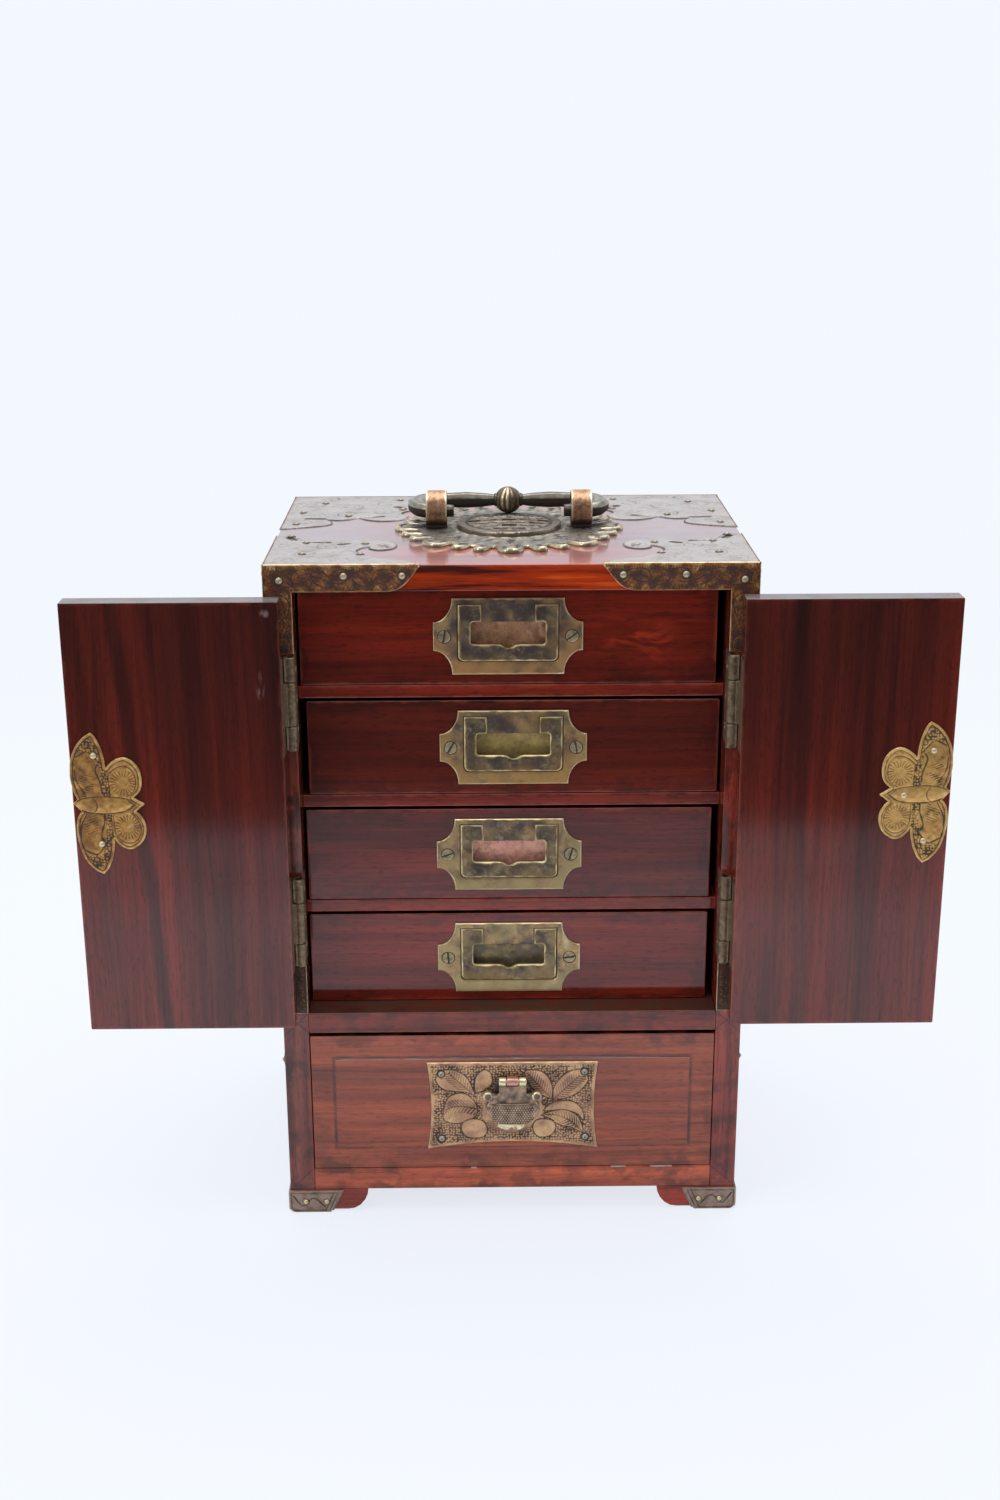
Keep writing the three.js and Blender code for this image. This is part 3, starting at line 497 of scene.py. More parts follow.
def leaf(points, rim, rib, veins, line):
    """Inside mask and engraved lines of a leaf: its rim, its midrib and short slanting veins."""
    rim = spline([*rim, rim[0]])
    within, from_rim = inside(points, rim), line_distance(points, rim)
    lines = groove(from_rim, line)
    if not len(rib):
        return within, lines
    rib = spline(rib)
    beside, way = line_distance(points, rib), rib[-1] - rib[0]
    length = np.linalg.norm(way)
    run = (points - rib[0]) @ way / length
    phase = (run + beside * 0.8) * veins / length % 1 - 0.5
    hatch = groove(phase, 0.24) * (beside > line) * (beside < 3.3) * (from_rim > 0.7) * within
    return within, np.maximum.reduce([lines, groove(beside, line) * within, hatch * 0.85])


def leaves_over(points, leaves, line):
    """Engraved lines of leaves, each over the ones before it, and which points they cover."""
    lines, covered = np.zeros(len(points)), np.zeros(len(points), bool)
    for rim, rib, veins in leaves:
        within, cuts = leaf(points, rim, rib, veins, line)
        lines = np.where(within, cuts, np.maximum(lines, cuts))
        covered |= within
    return lines, covered


# Node trees
class Wire:
    """The value of an output socket. Its arithmetic adds math nodes."""

    def __init__(self, nodes, socket):
        self.nodes, self.socket = nodes, socket

    def __add__(self, other):
        return self.nodes.math("ADD", self, other)

    def __sub__(self, other):
        return self.nodes.math("SUBTRACT", self, other)

    def __rsub__(self, other):
        return self.nodes.math("SUBTRACT", other, self)

    def __mul__(self, other):
        return self.nodes.math("MULTIPLY", self, other)

    def __abs__(self):
        return self.nodes.math("ABSOLUTE", self, 0.0)


class Outputs:
    """The outputs of a node by their name or number."""

    def __init__(self, nodes, node):
        self.nodes, self.node = nodes, node

    def __getitem__(self, key):
        return Wire(self.nodes, self.node.outputs[key])


class Nodes:
    """Adds nodes to a tree and links or fills their inputs in one call each."""

    def __init__(self, tree):
        self.tree = tree

    def add(self, kind, inputs=(), **settings):
        node = self.tree.nodes.new(kind)
        for name, value in settings.items():
            setattr(node, name, value)
        for name, value in dict(inputs).items():
            socket = node.inputs[name]
            if isinstance(value, Wire):
                self.tree.links.new(value.socket, socket)
            else:
                socket.default_value = (*tuple(value)[:3], 1) if socket.type == "RGBA" else value
        return Outputs(self, node)

    def math(self, operation, a, b, clamp=False):
        return self.add("ShaderNodeMath", {0: a, 1: b}, operation=operation, use_clamp=clamp)[0]

    def vector(self, operation, a, b=(0, 0, 0), result=0):
        return self.add("ShaderNodeVectorMath", {0: a, 1: b}, operation=operation)[result]

    def parts(self, vector):
        split = self.add("ShaderNodeSeparateXYZ", {0: vector})
        return split[0], split[1], split[2]

    def joined(self, *parts):
        return self.add("ShaderNodeCombineXYZ", dict(enumerate(parts)))[0]

    def ramp(self, value, start, end, to_start=0.0, to_end=1.0):
        """The value eased from one range to another."""
        inputs = {0: value, 1: start, 2: end, 3: to_start, 4: to_end}
        return self.add("ShaderNodeMapRange", inputs, interpolation_type="SMOOTHSTEP")[0]

    def mix(self, factor, a, b, blend="MIX"):
        return self.add("ShaderNodeMix", {0: factor, 6: a, 7: b}, data_type="RGBA", blend_type=blend)[2]

    def noise(self, vector, scale=1.0, detail=2.0, distortion=0.0):
        """Soft noise; a scale of three numbers stretches it."""
        if isinstance(scale, tuple):
            vector, scale = self.vector("MULTIPLY", vector, scale), 1.0
        inputs = {"Vector": vector, "Scale": scale, "Detail": detail, "Distortion": distortion}
        return self.add("ShaderNodeTexNoise", inputs)["Fac"]

    def place(self):
        return self.add("ShaderNodeTexCoord")["Object"]

    def attribute(self, name):
        return self.add("ShaderNodeAttribute", attribute_name=name)["Fac"]

    def glossy(self, height, strength, distance, inputs):
        """Ends a material in a shader over a bump."""
        bump = self.add("ShaderNodeBump", {"Height": height, "Strength": strength, "Distance": distance})
        shader = self.add("ShaderNodeBsdfPrincipled", {**inputs, "Normal": bump[0]})
        self.add("ShaderNodeOutputMaterial", {"Surface": shader[0]})


SOCKETS = {"RGBA": "NodeSocketColor", "VALUE": "NodeSocketFloat", "VECTOR": "NodeSocketVector"}


def shader_group(name, inputs):
    """Makes a function that builds nodes into one that adds them as a group with named sockets."""

    def wrap(build):
        def make():
            tree = bpy.data.node_groups.new(name, "ShaderNodeTree")
            for label, value in {"Vector": (0, 0, 0), **inputs}.items():
                kind = {1: "VALUE", 3: "VECTOR", 4: "RGBA"}[np.size(value)]
                socket = tree.interface.new_socket(label, in_out="INPUT", socket_type=SOCKETS[kind])
                socket.default_value = value
            n = Nodes(tree)
            results = build(n, n.add("NodeGroupInput"))
            for label, wire in results.items():
                tree.interface.new_socket(label, in_out="OUTPUT", socket_type=SOCKETS[wire.socket.type])
            n.add("NodeGroupOutput", results)
            return tree

        def add(n, values):
            return n.add("ShaderNodeGroup", values, node_tree=bpy.data.node_groups.get(name) or make())

        return add

    return wrap


@shader_group("rosewood_grain", {
    "Seed": (0, 0, 0), "Dark": (0, 0, 0, 1), "Mid": (0.1, 0.02, 0.01, 1), "Light": (0.2, 0.03, 0.01, 1),
    "Streaks": 0.8, "Bend": 0.004, "Knot": (0, 0, -1), "Knot Radius": 0.02, "Flame": (0.45, 0.04, 0.01, 1),
    "Pores": 0.4, "Ink": 0.6,
})
def grain_group(n, given):
    """Streaks, fine lines and pores that run along the first coordinate."""
    seed = n.vector("MULTIPLY", given["Seed"], (3.1, 1.7, 2.3))
    spot = n.vector("ADD", given["Vector"], seed)
    bend = (n.noise(spot, (6, 16, 16), 1.0) - 0.5) * given["Bend"]
    away = n.vector("SUBTRACT", given["Vector"], given["Knot"])
    reach = n.vector("LENGTH", n.vector("MULTIPLY", away, (0.55, 1, 1)), result="Value")
    near_knot = n.ramp(reach, 0.0, given["Knot Radius"], 1.0, 0.0)
    curl = near_knot * (n.noise(spot, (38, 75, 75), 1.0) - 0.5)
    bend = bend + curl * 0.014
    grown = n.vector("ADD", spot, n.joined(0.0, bend, bend))
    bands = n.noise(grown, (1.3, 24, 24), 1.5)
    broad = n.noise(grown, (3.4, 58, 58), 2.5)
    medium = n.noise(grown, (8, 230, 230), 3.0)
    fine = n.noise(grown, (26, 900, 900), 2.0)
    pores = n.noise(grown, (230, 1500, 1500), 1.0)
    cloud = n.noise(spot, (9, 22, 22), 2.0)
    color = n.mix(n.ramp(medium, 0.26, 0.74), given["Mid"], given["Light"])
    color = n.mix(n.ramp(cloud, 0.4, 0.72) * 0.5, color, given["Mid"])
    color = n.mix(n.ramp(bands, 0.42, 0.62) * (given["Streaks"] * 0.55), color, given["Dark"])
    streak = n.ramp(broad, 0.42, 0.74) * given["Streaks"]
    color = n.mix(streak * n.ramp(medium, 0.72, 0.3, 0.45, 1.0), color, given["Dark"])
    lines = n.ramp(fine, 0.44, 0.74) * 0.34
    color = n.mix(lines, color, given["Dark"])
    vein = abs(n.noise(grown, (4.5, 120, 120), 1.0) - 0.5)
    ink = n.ramp(vein, 0.003, 0.022, 1.0, 0.0) * n.ramp(broad, 0.44, 0.6)
    color = n.mix(ink * given["Ink"], color, given["Dark"])
    pits = n.ramp(pores, 0.56, 0.7) * given["Pores"]
    color = n.mix(pits, color, given["Dark"])
    flicker = n.noise(grown, (44, 150, 150), 2.5, 1.6)
    flame = n.ramp(near_knot, 0.1, 0.7, 0.0, 0.75) * n.ramp(flicker, 0.46, 0.64)
    color = n.mix(flame, color, given["Flame"])
    scar = n.ramp(near_knot, 0.3, 0.8) * n.ramp(flicker, 0.36, 0.3)
    color = n.mix(scar * 0.8, color, given["Dark"])
    return {
        "Color": color, "Roughness": medium * 0.2 + 0.34, "Height": fine * 0.4 - pits,
        "Gloss": n.ramp(medium, 0.3, 0.7, 0.9, 1.0) - n.math("MAXIMUM", pits, lines) * 0.25,
    }


@shader_group("board_edges", {"Low": (0, 0, 0), "High": (1, 1, 1), "Width": 0.0012})
def edge_group(n, given):
    """1 on the edges of a block between two corners, fading over a width."""
    inner = n.vector("SUBTRACT", given["Vector"], given["Low"])
    outer = n.vector("SUBTRACT", given["High"], given["Vector"])
    x, y, z = n.parts(n.vector("MINIMUM", inner, outer))
    smaller, larger = n.math("MINIMUM", x, y), n.math("MAXIMUM", x, y)
    second = n.math("MAXIMUM", smaller, n.math("MINIMUM", larger, z))
    uneven = n.noise(given["Vector"], (140, 140, 140), 3.0)
    width = given["Width"] * n.ramp(uneven, 0.3, 0.7, 0.25, 1.7)
    return {"Edge": n.math("SUBTRACT", 1.0, n.math("DIVIDE", second, width, clamp=True), clamp=True)}


@shader_group("mitred_joint", {"Corner": (0, 0, 0), "Normal": (1, 0, 0)})
def mitre_group(n, given):
    """Which side of a slanted joint a point of the front lies on, and the dark seam along it."""
    away = n.vector("SUBTRACT", given["Vector"], given["Corner"])
    side = n.vector("DOT_PRODUCT", away, given["Normal"], "Value")
    seam = n.ramp(abs(side), 0.00008, 0.00032, 1.0, 0.0)
    return {"Beyond": n.math("GREATER_THAN", side, 0.0), "Seam": seam}


@shader_group("punched_ground", {"Scale": 700.0, "Ground": 0.0})
def punch_group(n, given):
    """Small rings punched side by side over a flat ground."""
    inputs = {"Vector": given["Vector"], "Scale": given["Scale"], "Randomness": 0.6}
    cells = n.add("ShaderNodeTexVoronoi", inputs, voronoi_dimensions="2D")["Distance"]
    net = n.ramp(cells, 0.22, 0.46, -0.3, 0.62)
    return {"Ring": n.math("MAXIMUM", net, n.ramp(cells, 0.12, 0.04, -0.3, 0.2)) * given["Ground"]}


@shader_group("aged_brass", {
    "Tone": 0.5, "Scale": 90.0, "Body": (0.3, 0.2, 0.1, 1), "Second": (0.3, 0.2, 0.1, 1),
    "Bright": (0.7, 0.5, 0.3, 1), "Patina": (0.03, 0.02, 0.02, 1), "Stain": (0.1, 0.05, 0.03, 1),
    "Stains": 0.5, "Stained": 0.0,
})
def brass_group(n, given):
    """Mottled brass, dark in hollows and painted shade, bright on edges polished by wear and painted
    highlights.
    """
    vector, scale = given["Vector"], given["Scale"]
    cloud = n.noise(vector, scale, 4.0, 0.6)
    blotch = n.noise(vector, scale * 2.7, 3.0, 0.3)
    speck = n.noise(vector, scale * 16.0, 2.0)
    worn = given["Tone"] + (blotch - 0.5) * 0.5
    # High tone takes the bright colour, for wear and painted highlights; low tone takes the patina, for dirt
    # and painted shade.
    bright, dirty = n.ramp(worn, 0.6, 1.0), n.ramp(worn, 0.46, 0.05)
    stain = n.ramp(cloud + given["Stained"] * 0.22, 0.48, 0.72) * given["Stains"]
    mottle = blotch - (given["Tone"] - 0.45) * 0.55
    color = n.mix(n.ramp(mottle, 0.33, 0.72), given["Body"], given["Second"])
    fleck = n.noise(vector, scale * 7.5, 4.0, 0.8)
    color = n.mix(n.ramp(fleck, 0.5, 0.75, 0.0, 0.2), color, given["Bright"])
    color = n.mix(n.ramp(fleck, 0.46, 0.28, 0.0, 0.35), color, given["Patina"])
    color = n.mix(bright, color, given["Bright"])
    color = n.mix(stain * (1.0 - bright * 0.6), color, given["Stain"])
    color = n.mix(dirty * 0.93, color, given["Patina"])
    color = n.mix(n.ramp(speck, 0.62, 0.75) * 0.35, color, given["Patina"])
    return {
        "Color": color, "Roughness": blotch * 0.22 + 0.3 + dirty * 0.25 - bright * 0.1,
        "Metal": 1.0 - n.math("MAXIMUM", dirty, stain * 0.5) * 0.75, "Height": speck * 0.5 + blotch * 0.6,
    }


# Materials
GRAIN_ORDER = {"x": (0, 1, 2), "y": (1, 0, 2), "z": (2, 0, 1)}


def new_material(name):
    material = bpy.data.materials.new(name)
    material.use_nodes = True
    material.node_tree.nodes.clear()
    return material, Nodes(material.node_tree)


def along(n, vector, axis):
    """The vector with the grain's direction put first."""
    parts = n.parts(vector)
    return n.joined(*[parts[i] for i in GRAIN_ORDER[axis]])


def scaled(color, factor):
    return tuple(min(1.0, c * f) for c, f in zip(color, np.broadcast_to(factor, 3)))


def seed_place(seed):
    return seed * 0.37, seed * 0.73, seed * 0.51


def dusty(n, place_node, color, coat, tint, share, evenness, dullness, middle_share):
    """A tint on faces that look up, thinner in the middle of the board; also dulls the lacquer."""
    # Dust on the rail and the doors, painted shade on the drawer fronts, a painted reflection of the backdrop
    # on the top.
    facing = n.parts(n.add("ShaderNodeNewGeometry")["Normal"])[2]
    uneven = n.ramp(n.noise(place_node, 95.0, 4.0), 0.3, 0.62, share * evenness, share)
    lying = n.ramp(facing, 0.75, 0.97) * uneven
    lying = lying * n.ramp(abs(n.parts(place_node)[0]), 0.025, 0.07, middle_share, 1.0)
    return n.mix(lying, color, tint), coat * (1.0 - lying * dullness)


def rosewood(
    node, axis, seed, tint=(1, 1, 1), streaks=0.8, bend=0.004, knot=None, mitres=(), edge=0.5,
    dust=None, pores=0.4, extra=None, grime=0.0, gloss=1.0, ink=0.3,
):
    """Lacquered rosewood for one board of the frame, with its grain along an axis.

    Dust and light is what the function above takes after the lacquer; extra changes the colour further.
    """
    wood = bpy.context.scene.cabinet_wood
    material, n = new_material(node + "_rosewood")
    place_node = n.place()
    values = {
        "Seed": seed_place(seed), "Dark": wood.dark, "Mid": scaled(wood.mid, tint),
        "Light": scaled(wood.light, tint), "Streaks": streaks, "Bend": bend, "Pores": pores, "Ink": ink,
    }
    if knot:
        center, radius = knot
        values["Knot"] = tuple(center[i] * MM for i in GRAIN_ORDER[axis])
        values["Knot Radius"] = radius * MM
    grain = grain_group(n, {"Vector": along(n, place_node, axis), **values})
    color, seam = grain["Color"], None
    for spots, normals in mitres:
        beyond = None
        for spot, normal in zip(spots, normals):
            corner = tuple(c * MM for c in spot)
            joint = mitre_group(n, {"Vector": place_node, "Corner": corner, "Normal": normal})
            beyond = beyond * joint["Beyond"] if beyond else joint["Beyond"]
            seam = n.math("MAXIMUM", seam, joint["Seam"]) if seam else joint["Seam"]
        values["Seed"] = (seed * 0.21, seed, seed * 0.4)
        cross = grain_group(n, {"Vector": along(n, place_node, "x"), **values})
        color = n.mix(beyond, color, cross["Color"])
    if seam:
        color = n.mix(seam * 0.8, color, wood.dark)
    corners = {"Vector": place_node, "Low": tuple(low(node) * MM), "High": tuple(high(node) * MM)}
    # Paler edges: wear of the lacquer, and a painted highlight on the rounded edges.
    worn = edge_group(n, {**corners, "Width": 0.0011})["Edge"]
    color = n.mix(worn * edge, color, scaled(wood.light, (2.6, 4.0, 4.0)))
    # Darker wood in patches near the board's edges.
    if grime:
        near = edge_group(n, {**corners, "Width": 0.007})["Edge"]
        patch = n.ramp(n.noise(place_node, 62.0, 4.0), 0.38, 0.64)
        color = n.mix(n.ramp(near, 0.0, 0.7) * patch * grime, color, wood.dark)
    if extra:
        color = extra(n, place_node, color)
    coat = grain["Gloss"] * gloss
    # Faces that look up take dust, painted shade and painted reflections, each board its own.
    if dust:
        color, coat = dusty(n, place_node, color, coat, *dust)
    n.glossy(grain["Height"], 0.12, 0.0003, {
        "Base Color": color, "Roughness": grain["Roughness"], "Coat Weight": coat,
        "Coat Roughness": wood.gloss, "Coat IOR": 1.56, "Specular IOR Level": 0.06,
    })
    return material


def plain_wood(name, axis, seed):
    """Unlacquered pale wood of the drawer boxes."""
    material, n = new_material(name)
    grain = grain_group(n, {
        "Vector": along(n, n.place(), axis), "Seed": seed_place(seed), "Dark": (0.1, 0.05, 0.03),
        "Mid": (0.26, 0.13, 0.07), "Light": (0.38, 0.21, 0.12), "Streaks": 0.35,
    })
    rough = grain["Roughness"] + 0.2
    n.glossy(grain["Height"], 0.3, 0.0003, {"Base Color": grain["Color"], "Roughness": rough})
    return material


def brass(
    name, base, body, second=None, stain=(0.11, 0.05, 0.03), stains=0.5, scale=90.0, bright=None, tone=None,
    punch=0.0, shine=0.55, stained=False, patina=None,
):
    """Aged brass that follows the tone of its mesh, or one tone where the mesh has none.

    Base names a colour of the brass settings. Body and second are factors of it, or colours where it is None.
    Shine is how much of the surface is clean metal, not skin of age.
    """
    metal = bpy.context.scene.cabinet_brass
    if base:
        base = getattr(metal, base)
        body, second = scaled(base, body), None if second is None else scaled(base, second)
    second = scaled(body, 0.75) if second is None else second
    material, n = new_material(name)
    place_node = n.place()
    if tone is None:
        tone = n.attribute("tone")
    if punch:
        x, _, z = n.parts(place_node)
        flat = n.joined(x, z)
        ring = punch_group(n, {"Vector": flat, "Scale": punch, "Ground": n.attribute("ground")})["Ring"]
        tone = tone - ring * 0.5
    inputs = {
        "Vector": place_node, "Tone": tone, "Scale": scale, "Body": body, "Second": second,
        "Bright": bright or metal.bright, "Patina": patina or metal.patina, "Stain": stain, "Stains": stains,
    }
    if stained:
        inputs["Stained"] = n.attribute("ground")
    look = brass_group(n, inputs)
    n.glossy(look["Height"] - ring * 3.0 if punch else look["Height"], 0.25, 0.0002, {
        "Base Color": look["Color"], "Roughness": look["Roughness"], "Metallic": look["Metal"] * shine,
    })
    return material


# Boards carried over from the frame
def dress(node, material, width=None):
    """Gives a piece of the frame its material, closes its faceted mesh and rounds its edges."""
    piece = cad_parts[node]
    weld = piece.modifiers.new("close seams", "WELD")
    weld.merge_threshold = 0.00001
    bevel = piece.modifiers.new("soft edges", "BEVEL")
    bevel.width = bpy.context.scene.cabinet_wood.bevel if width is None else width
    bevel.segments = 3
    bevel.limit_method = "ANGLE"
    bevel.angle_limit = math.radians(40)
    bevel.harden_normals = True
    piece.data.materials.clear()
    piece.data.materials.append(material)


def arrow_mitre(side):
    """The pointed end of the middle rail, let into the side board between its two slanted seams."""
    corners = [(side * HALF_OPENING, FRONT, height) for height in (RAIL_TOP, RAIL_BASE)]
    slant = math.sqrt(0.5)
    return corners, ((-side * slant, 0, -slant), (-side * slant, 0, slant))


def corner_mitre(side):
    """The slanted end of the bottom rail below the side board."""
    run, rise = HALF_CASE - HALF_OPENING, BASE_FLOOR - CASE_BASE
    length = math.hypot(run, rise)
    return [(side * HALF_OPENING, FRONT, BASE_FLOOR)], ((-side * rise / length, 0, -run / length),)


CHIPS = ((44.2, 50.8), (61.8, 71.6), (-18.6, -16.2))


def chips(n, place_node, color):
    """Pale chips on the upper edge of the bottom rail."""
    x, _, z = n.parts(place_node)
    ragged = n.noise(place_node, 900.0, 3.0) * 0.0011
    high_up = n.math("GREATER_THAN", z + ragged, (BASE_FLOOR + 0.05) * MM)
    for start, end in CHIPS:
        within = n.math("LESS_THAN", abs(x - (start + end) / 2 * MM), (end - start) / 2 * MM)
        color = n.mix(within * high_up, color, (0.45, 0.33, 0.28))
    return color


def edge_streaks(n, place_node, color):
    """Long glowing and dark streaks along the front edge of the top board."""
    front = n.ramp(n.parts(place_node)[1], (FRONT + 0.4) * MM, (FRONT + 1.5) * MM, 1.0, 0.0)
    long = n.noise(place_node, (17, 0, 330), 3.0)
    dark = bpy.context.scene.cabinet_wood.dark
    color = n.mix(front * n.ramp(long, 0.47, 0.62, 0.0, 0.85), color, dark)
    return n.mix(front * n.ramp(long, 0.44, 0.32, 0.0, 0.8), color, (0.6, 0.08, 0.006))


# Dust and painted light on faces that look up: colour, share, evenness, dullness and share left in the middle
RAIL_DUST = ((0.08, 0.038, 0.026), 0.95, 0.45, 0.5, 1.0)
# Painted reflection of the pale backdrop on the top face, weaker in the middle.
TOP_DUST = ((0.3, 0.28, 0.3), 0.8, 0.85, 0.05, 0.42)
DOOR_DUST = ((0.2, 0.19, 0.19), 0.9, 0.45, 0.5, 1.0)
# Painted shade on the top faces of the drawer fronts, which lie in shadow under the rails.
GAP_DUST = ((0.006, 0.003, 0.003), 0.97, 0.45, 0.5, 1.0)
SIDE_TINTS = {"left": (2.0, 3.4, 3.9), "right": (3.3, 3.6, 3.8)}
# Boards of the case: direction of the grain, seed, tint, share of streaks and what else the wood takes
BOARDS = {
    "top_board": ("x", 3, (4.0, 2.4, 0.3), 0.6, {"dust": TOP_DUST, "pores": 0.15, "extra": edge_streaks}),
    "middle_board": ("x", 5, (1.9, 1.6, 1.0), 0.5, {"dust": RAIL_DUST, "pores": 0.35, "grime": 0.6}),
    "bottom_board": ("x", 7, (5.0, 7.2, 5.2), 0.45, {"pores": 0.35, "grime": 0.6, "extra": chips}),
    "back_panel": ("z", 9, (1.5, 1.6, 1.5), 0.7, {"pores": 0.35, "grime": 0.6}),
}
for index, (side, sign) in enumerate(SIDES.items()):
    joints = {"grime": 0.7, "mitres": (corner_mitre(sign), arrow_mitre(sign))}
    BOARDS[f"{side}_side"] = ("z", 11 + index, SIDE_TINTS[side], 0.5, joints)
    for end in ENDS:
        BOARDS[f"foot_{end}_{side}"] = ("x", 30 + len(end + side), (3.4, 2.4, 1.4), 0.4, {"grime": 0.4})
for row in (1, 2, 3):
    BOARDS[f"divider_{row}"] = ("x", 20 + row, (1.9, 1.3, 1.0), 0.4, {"gloss": 0.8})


class CABINET_OT_case(bpy.types.Operator):
    """Gives the boards of the case, the dividers and the feet their lacquered rosewood"""

    bl_idname = "cabinet.case"
    bl_label = "Case boards"

    def execute(self, context):
        for node, (*look, more) in BOARDS.items():
            dress(node, rosewood(node, *look, **more))
        return {"FINISHED"}


SMEARS = (((-101.5, 252), (2.2, 7.5)), ((-98.5, 282), (2.6, 2.2)))


def smears(n, place_node, color):
    """Pale rubbed marks near the inner edge of the left door."""
    rubbed = n.ramp(n.noise(place_node, (620, 620, 180), 3.0), 0.42, 0.62)
    for (x, z), (wide, tall) in SMEARS:
        away = n.vector("SUBTRACT", place_node, (x * MM, 0, z * MM))
        away = n.vector("MULTIPLY", away, (1 / (wide * MM), 0, 1 / (tall * MM)))
        share = n.ramp(n.vector("LENGTH", away, result="Value"), 1.0, 0.2) * rubbed
        color = n.mix(share * 0.5, color, (0.3, 0.2, 0.19))
    return color


# Doors: seed, tint, slant of the bands, and the dark bands by their middle, half width and share
DOORS = {
    "left": (
        41, (1.5, 1.25, 1.1), 0.07,
        ((-157, 4, 0.6), (-135, 13, 0.35), (-174, 5, 0.2), (-97, 6, 0.25), (-145, 3, 0.25)),
    ),
    "right": (47, (1.75, 1.35, 1.1), 0.03, ((118, 4, 0.55), (97, 6, 0.2), (141, 12, 0.2), (168, 5, 0.2))),
}


class CABINET_OT_doors(bpy.types.Operator):
    """Gives the two doors their long grain with black streaks"""

    bl_idname = "cabinet.doors"
    bl_label = "Doors"

    def execute(self, context):
        for side, (seed, tint, slant, bands) in DOORS.items():
            node = f"{side}_door"

            def extra(n, place_node, color):
                """Broad dark bands along the grain, and painted shade that darkens the door towards its top.
                """
                dark = context.scene.cabinet_wood.dark
                x, _, z = n.parts(place_node)
                wander = n.noise(place_node, (40, 0, 14), 2.0)
                x = x + (wander - 0.5) * 0.008 + (z - 0.25) * slant
                for center, half, share in bands:
                    band = n.ramp(abs(x - center * MM), half * 0.3 * MM, half * 1.1 * MM, share, 0.0)
                    color = n.mix(band, color, dark)
                # Painted shade: the door darkens towards its top.
                color = n.mix(n.ramp(z, 0.15, 0.275, 0.0, 0.52), color, dark)
                return smears(n, place_node, color) if side == "left" else color

            material = rosewood(node, "z", seed, tint, 0.62, 0.006, dust=DOOR_DUST, extra=extra, ink=0.35)
            dress(node, material)
        return {"FINISHED"}


FIELD_MARGINS = (10.3, 11.0, 10.7)


def field_lines(n, place_node, color):
    """A painted highlight on the top edge of the raised field and painted shade along its other edges."""
    start, end = low("base_drawer_front"), high("base_drawer_front")
    side, above, below = FIELD_MARGINS
    x, _, z = n.parts(place_node)
    from_right = n.math("SUBTRACT", (end[0] - side) * MM, x)
    across = n.math("MINIMUM", x - (start[0] + side) * MM, from_right)
    rise = n.math("SUBTRACT", (end[2] - above) * MM, z)
    inward = n.math("MINIMUM", n.math("MINIMUM", across, z - (start[2] + below) * MM), rise)
    uneven = n.ramp(n.noise(place_node, 130.0, 3.0), 0.3, 0.7, 0.4, 1.0)
    # Painted shade along the edges of the field.
    grime = n.ramp(abs(inward + 0.0004), 0.0002, 0.0012, 0.75, 0.0)
    color = n.mix(grime * uneven, color, (0.03, 0.012, 0.01))
    # Painted highlight along the top edge of the field.
    line = n.ramp(abs(rise - 0.0001), 0.0001, 0.00035, 0.7, 0.0) * n.math("GREATER_THAN", across, 0.0)
    return n.mix(line * uneven, color, (0.5, 0.36, 0.33))


# Tint and share of streaks of the inner drawers' fronts
DRAWER_LOOKS = {
    1: ((1.6, 0.95, 0.5), 0.6),
    2: ((1.4, 1.1, 0.8), 0.8),
    3: ((1.5, 1.0, 0.9), 0.55),
    4: ((2.0, 1.3, 1.1), 0.5),
}
THIN_EDGE = 0.0003


class CABINET_OT_drawers(bpy.types.Operator):
    """Gives the drawer fronts and boxes their wood"""

    bl_idname = "cabinet.drawers"
    bl_label = "Drawers"

    def execute(self, context):
        for row in DRAWERS:
            node = f"drawer_{row}_front"
            knot = ((high(node)[0] - 33, FRONT, middle(node)[2] - 2), 23) if row == 1 else None
            look = ("x", 50 + row * 3, *DRAWER_LOOKS[row], 0.005, knot)
            # The top faces of the drawer fronts get painted shade.
            dress(node, rosewood(node, *look, dust=GAP_DUST, gloss=0.9, grime=0.4))
            box = f"drawer_{row}_box"
            dress(box, plain_wood(box + "_wood", "x", 70 + row), THIN_EDGE)
        node = "base_drawer_front"
        # The base drawer front gets painted shade on its top face and a painted highlight and painted shade
        # round its field.
        material = rosewood(
            node, "x", 66, (3.1, 4.9, 3.9), 0.35, edge=0.35, pores=0.3, extra=field_lines, dust=GAP_DUST,
            grime=0.5,
        )
        dress(node, material, THIN_EDGE)
        dress("base_drawer_box", plain_wood("base_drawer_box_wood", "x", 77), THIN_EDGE)
        return {"FINISHED"}


# Corner mounts
STRAP_TIP = 37
STRAP_TIP_LOW = 49.5
LEG_WIDTH = 11.1
LEG_DROP = 25.8
# Nails of a strap: distance from the middle, drop below the line of nails
STRAP_NAILS = {"left": ((44.2, 0), (67.8, 0), (93.8, 1.7)), "right": ((45.0, 0), (70.4, 0), (94.2, 2.2))}
STRAP_LEAF = (
    (0, 0), (2.0, 2.3), (5.0, 3.0), (8.0, 1.6), (10.2, -0.4), (7.6, -1.8), (4.4, -2.4), (1.6, -1.5),
)
STRAP_RIB = ((0.4, 0), (5, 0.5), (9.6, -0.3))
LEAF_PITCH = 8.2


def strap_outline(tip, tip_low):
    """A strap along a top edge with a leg down the corner, measured from the outer corner at zero."""
    t = MOUNT_THICKNESS
    top, base = CASE_TOP + t, TOP_BASE
    slant = [
        (tip, top - 1), (tip - 2.4, top - 4), (tip - 5.2, base + 3.8), (tip - 8.6, base + 1.2),
        (tip_low, base),
    ]
    leg = [(LEG_WIDTH, base), (LEG_WIDTH, base - LEG_DROP)]
    return np.vstack([[(-t, base - LEG_DROP), (-t, top), (tip, top)], spline(slant, 5), leg])


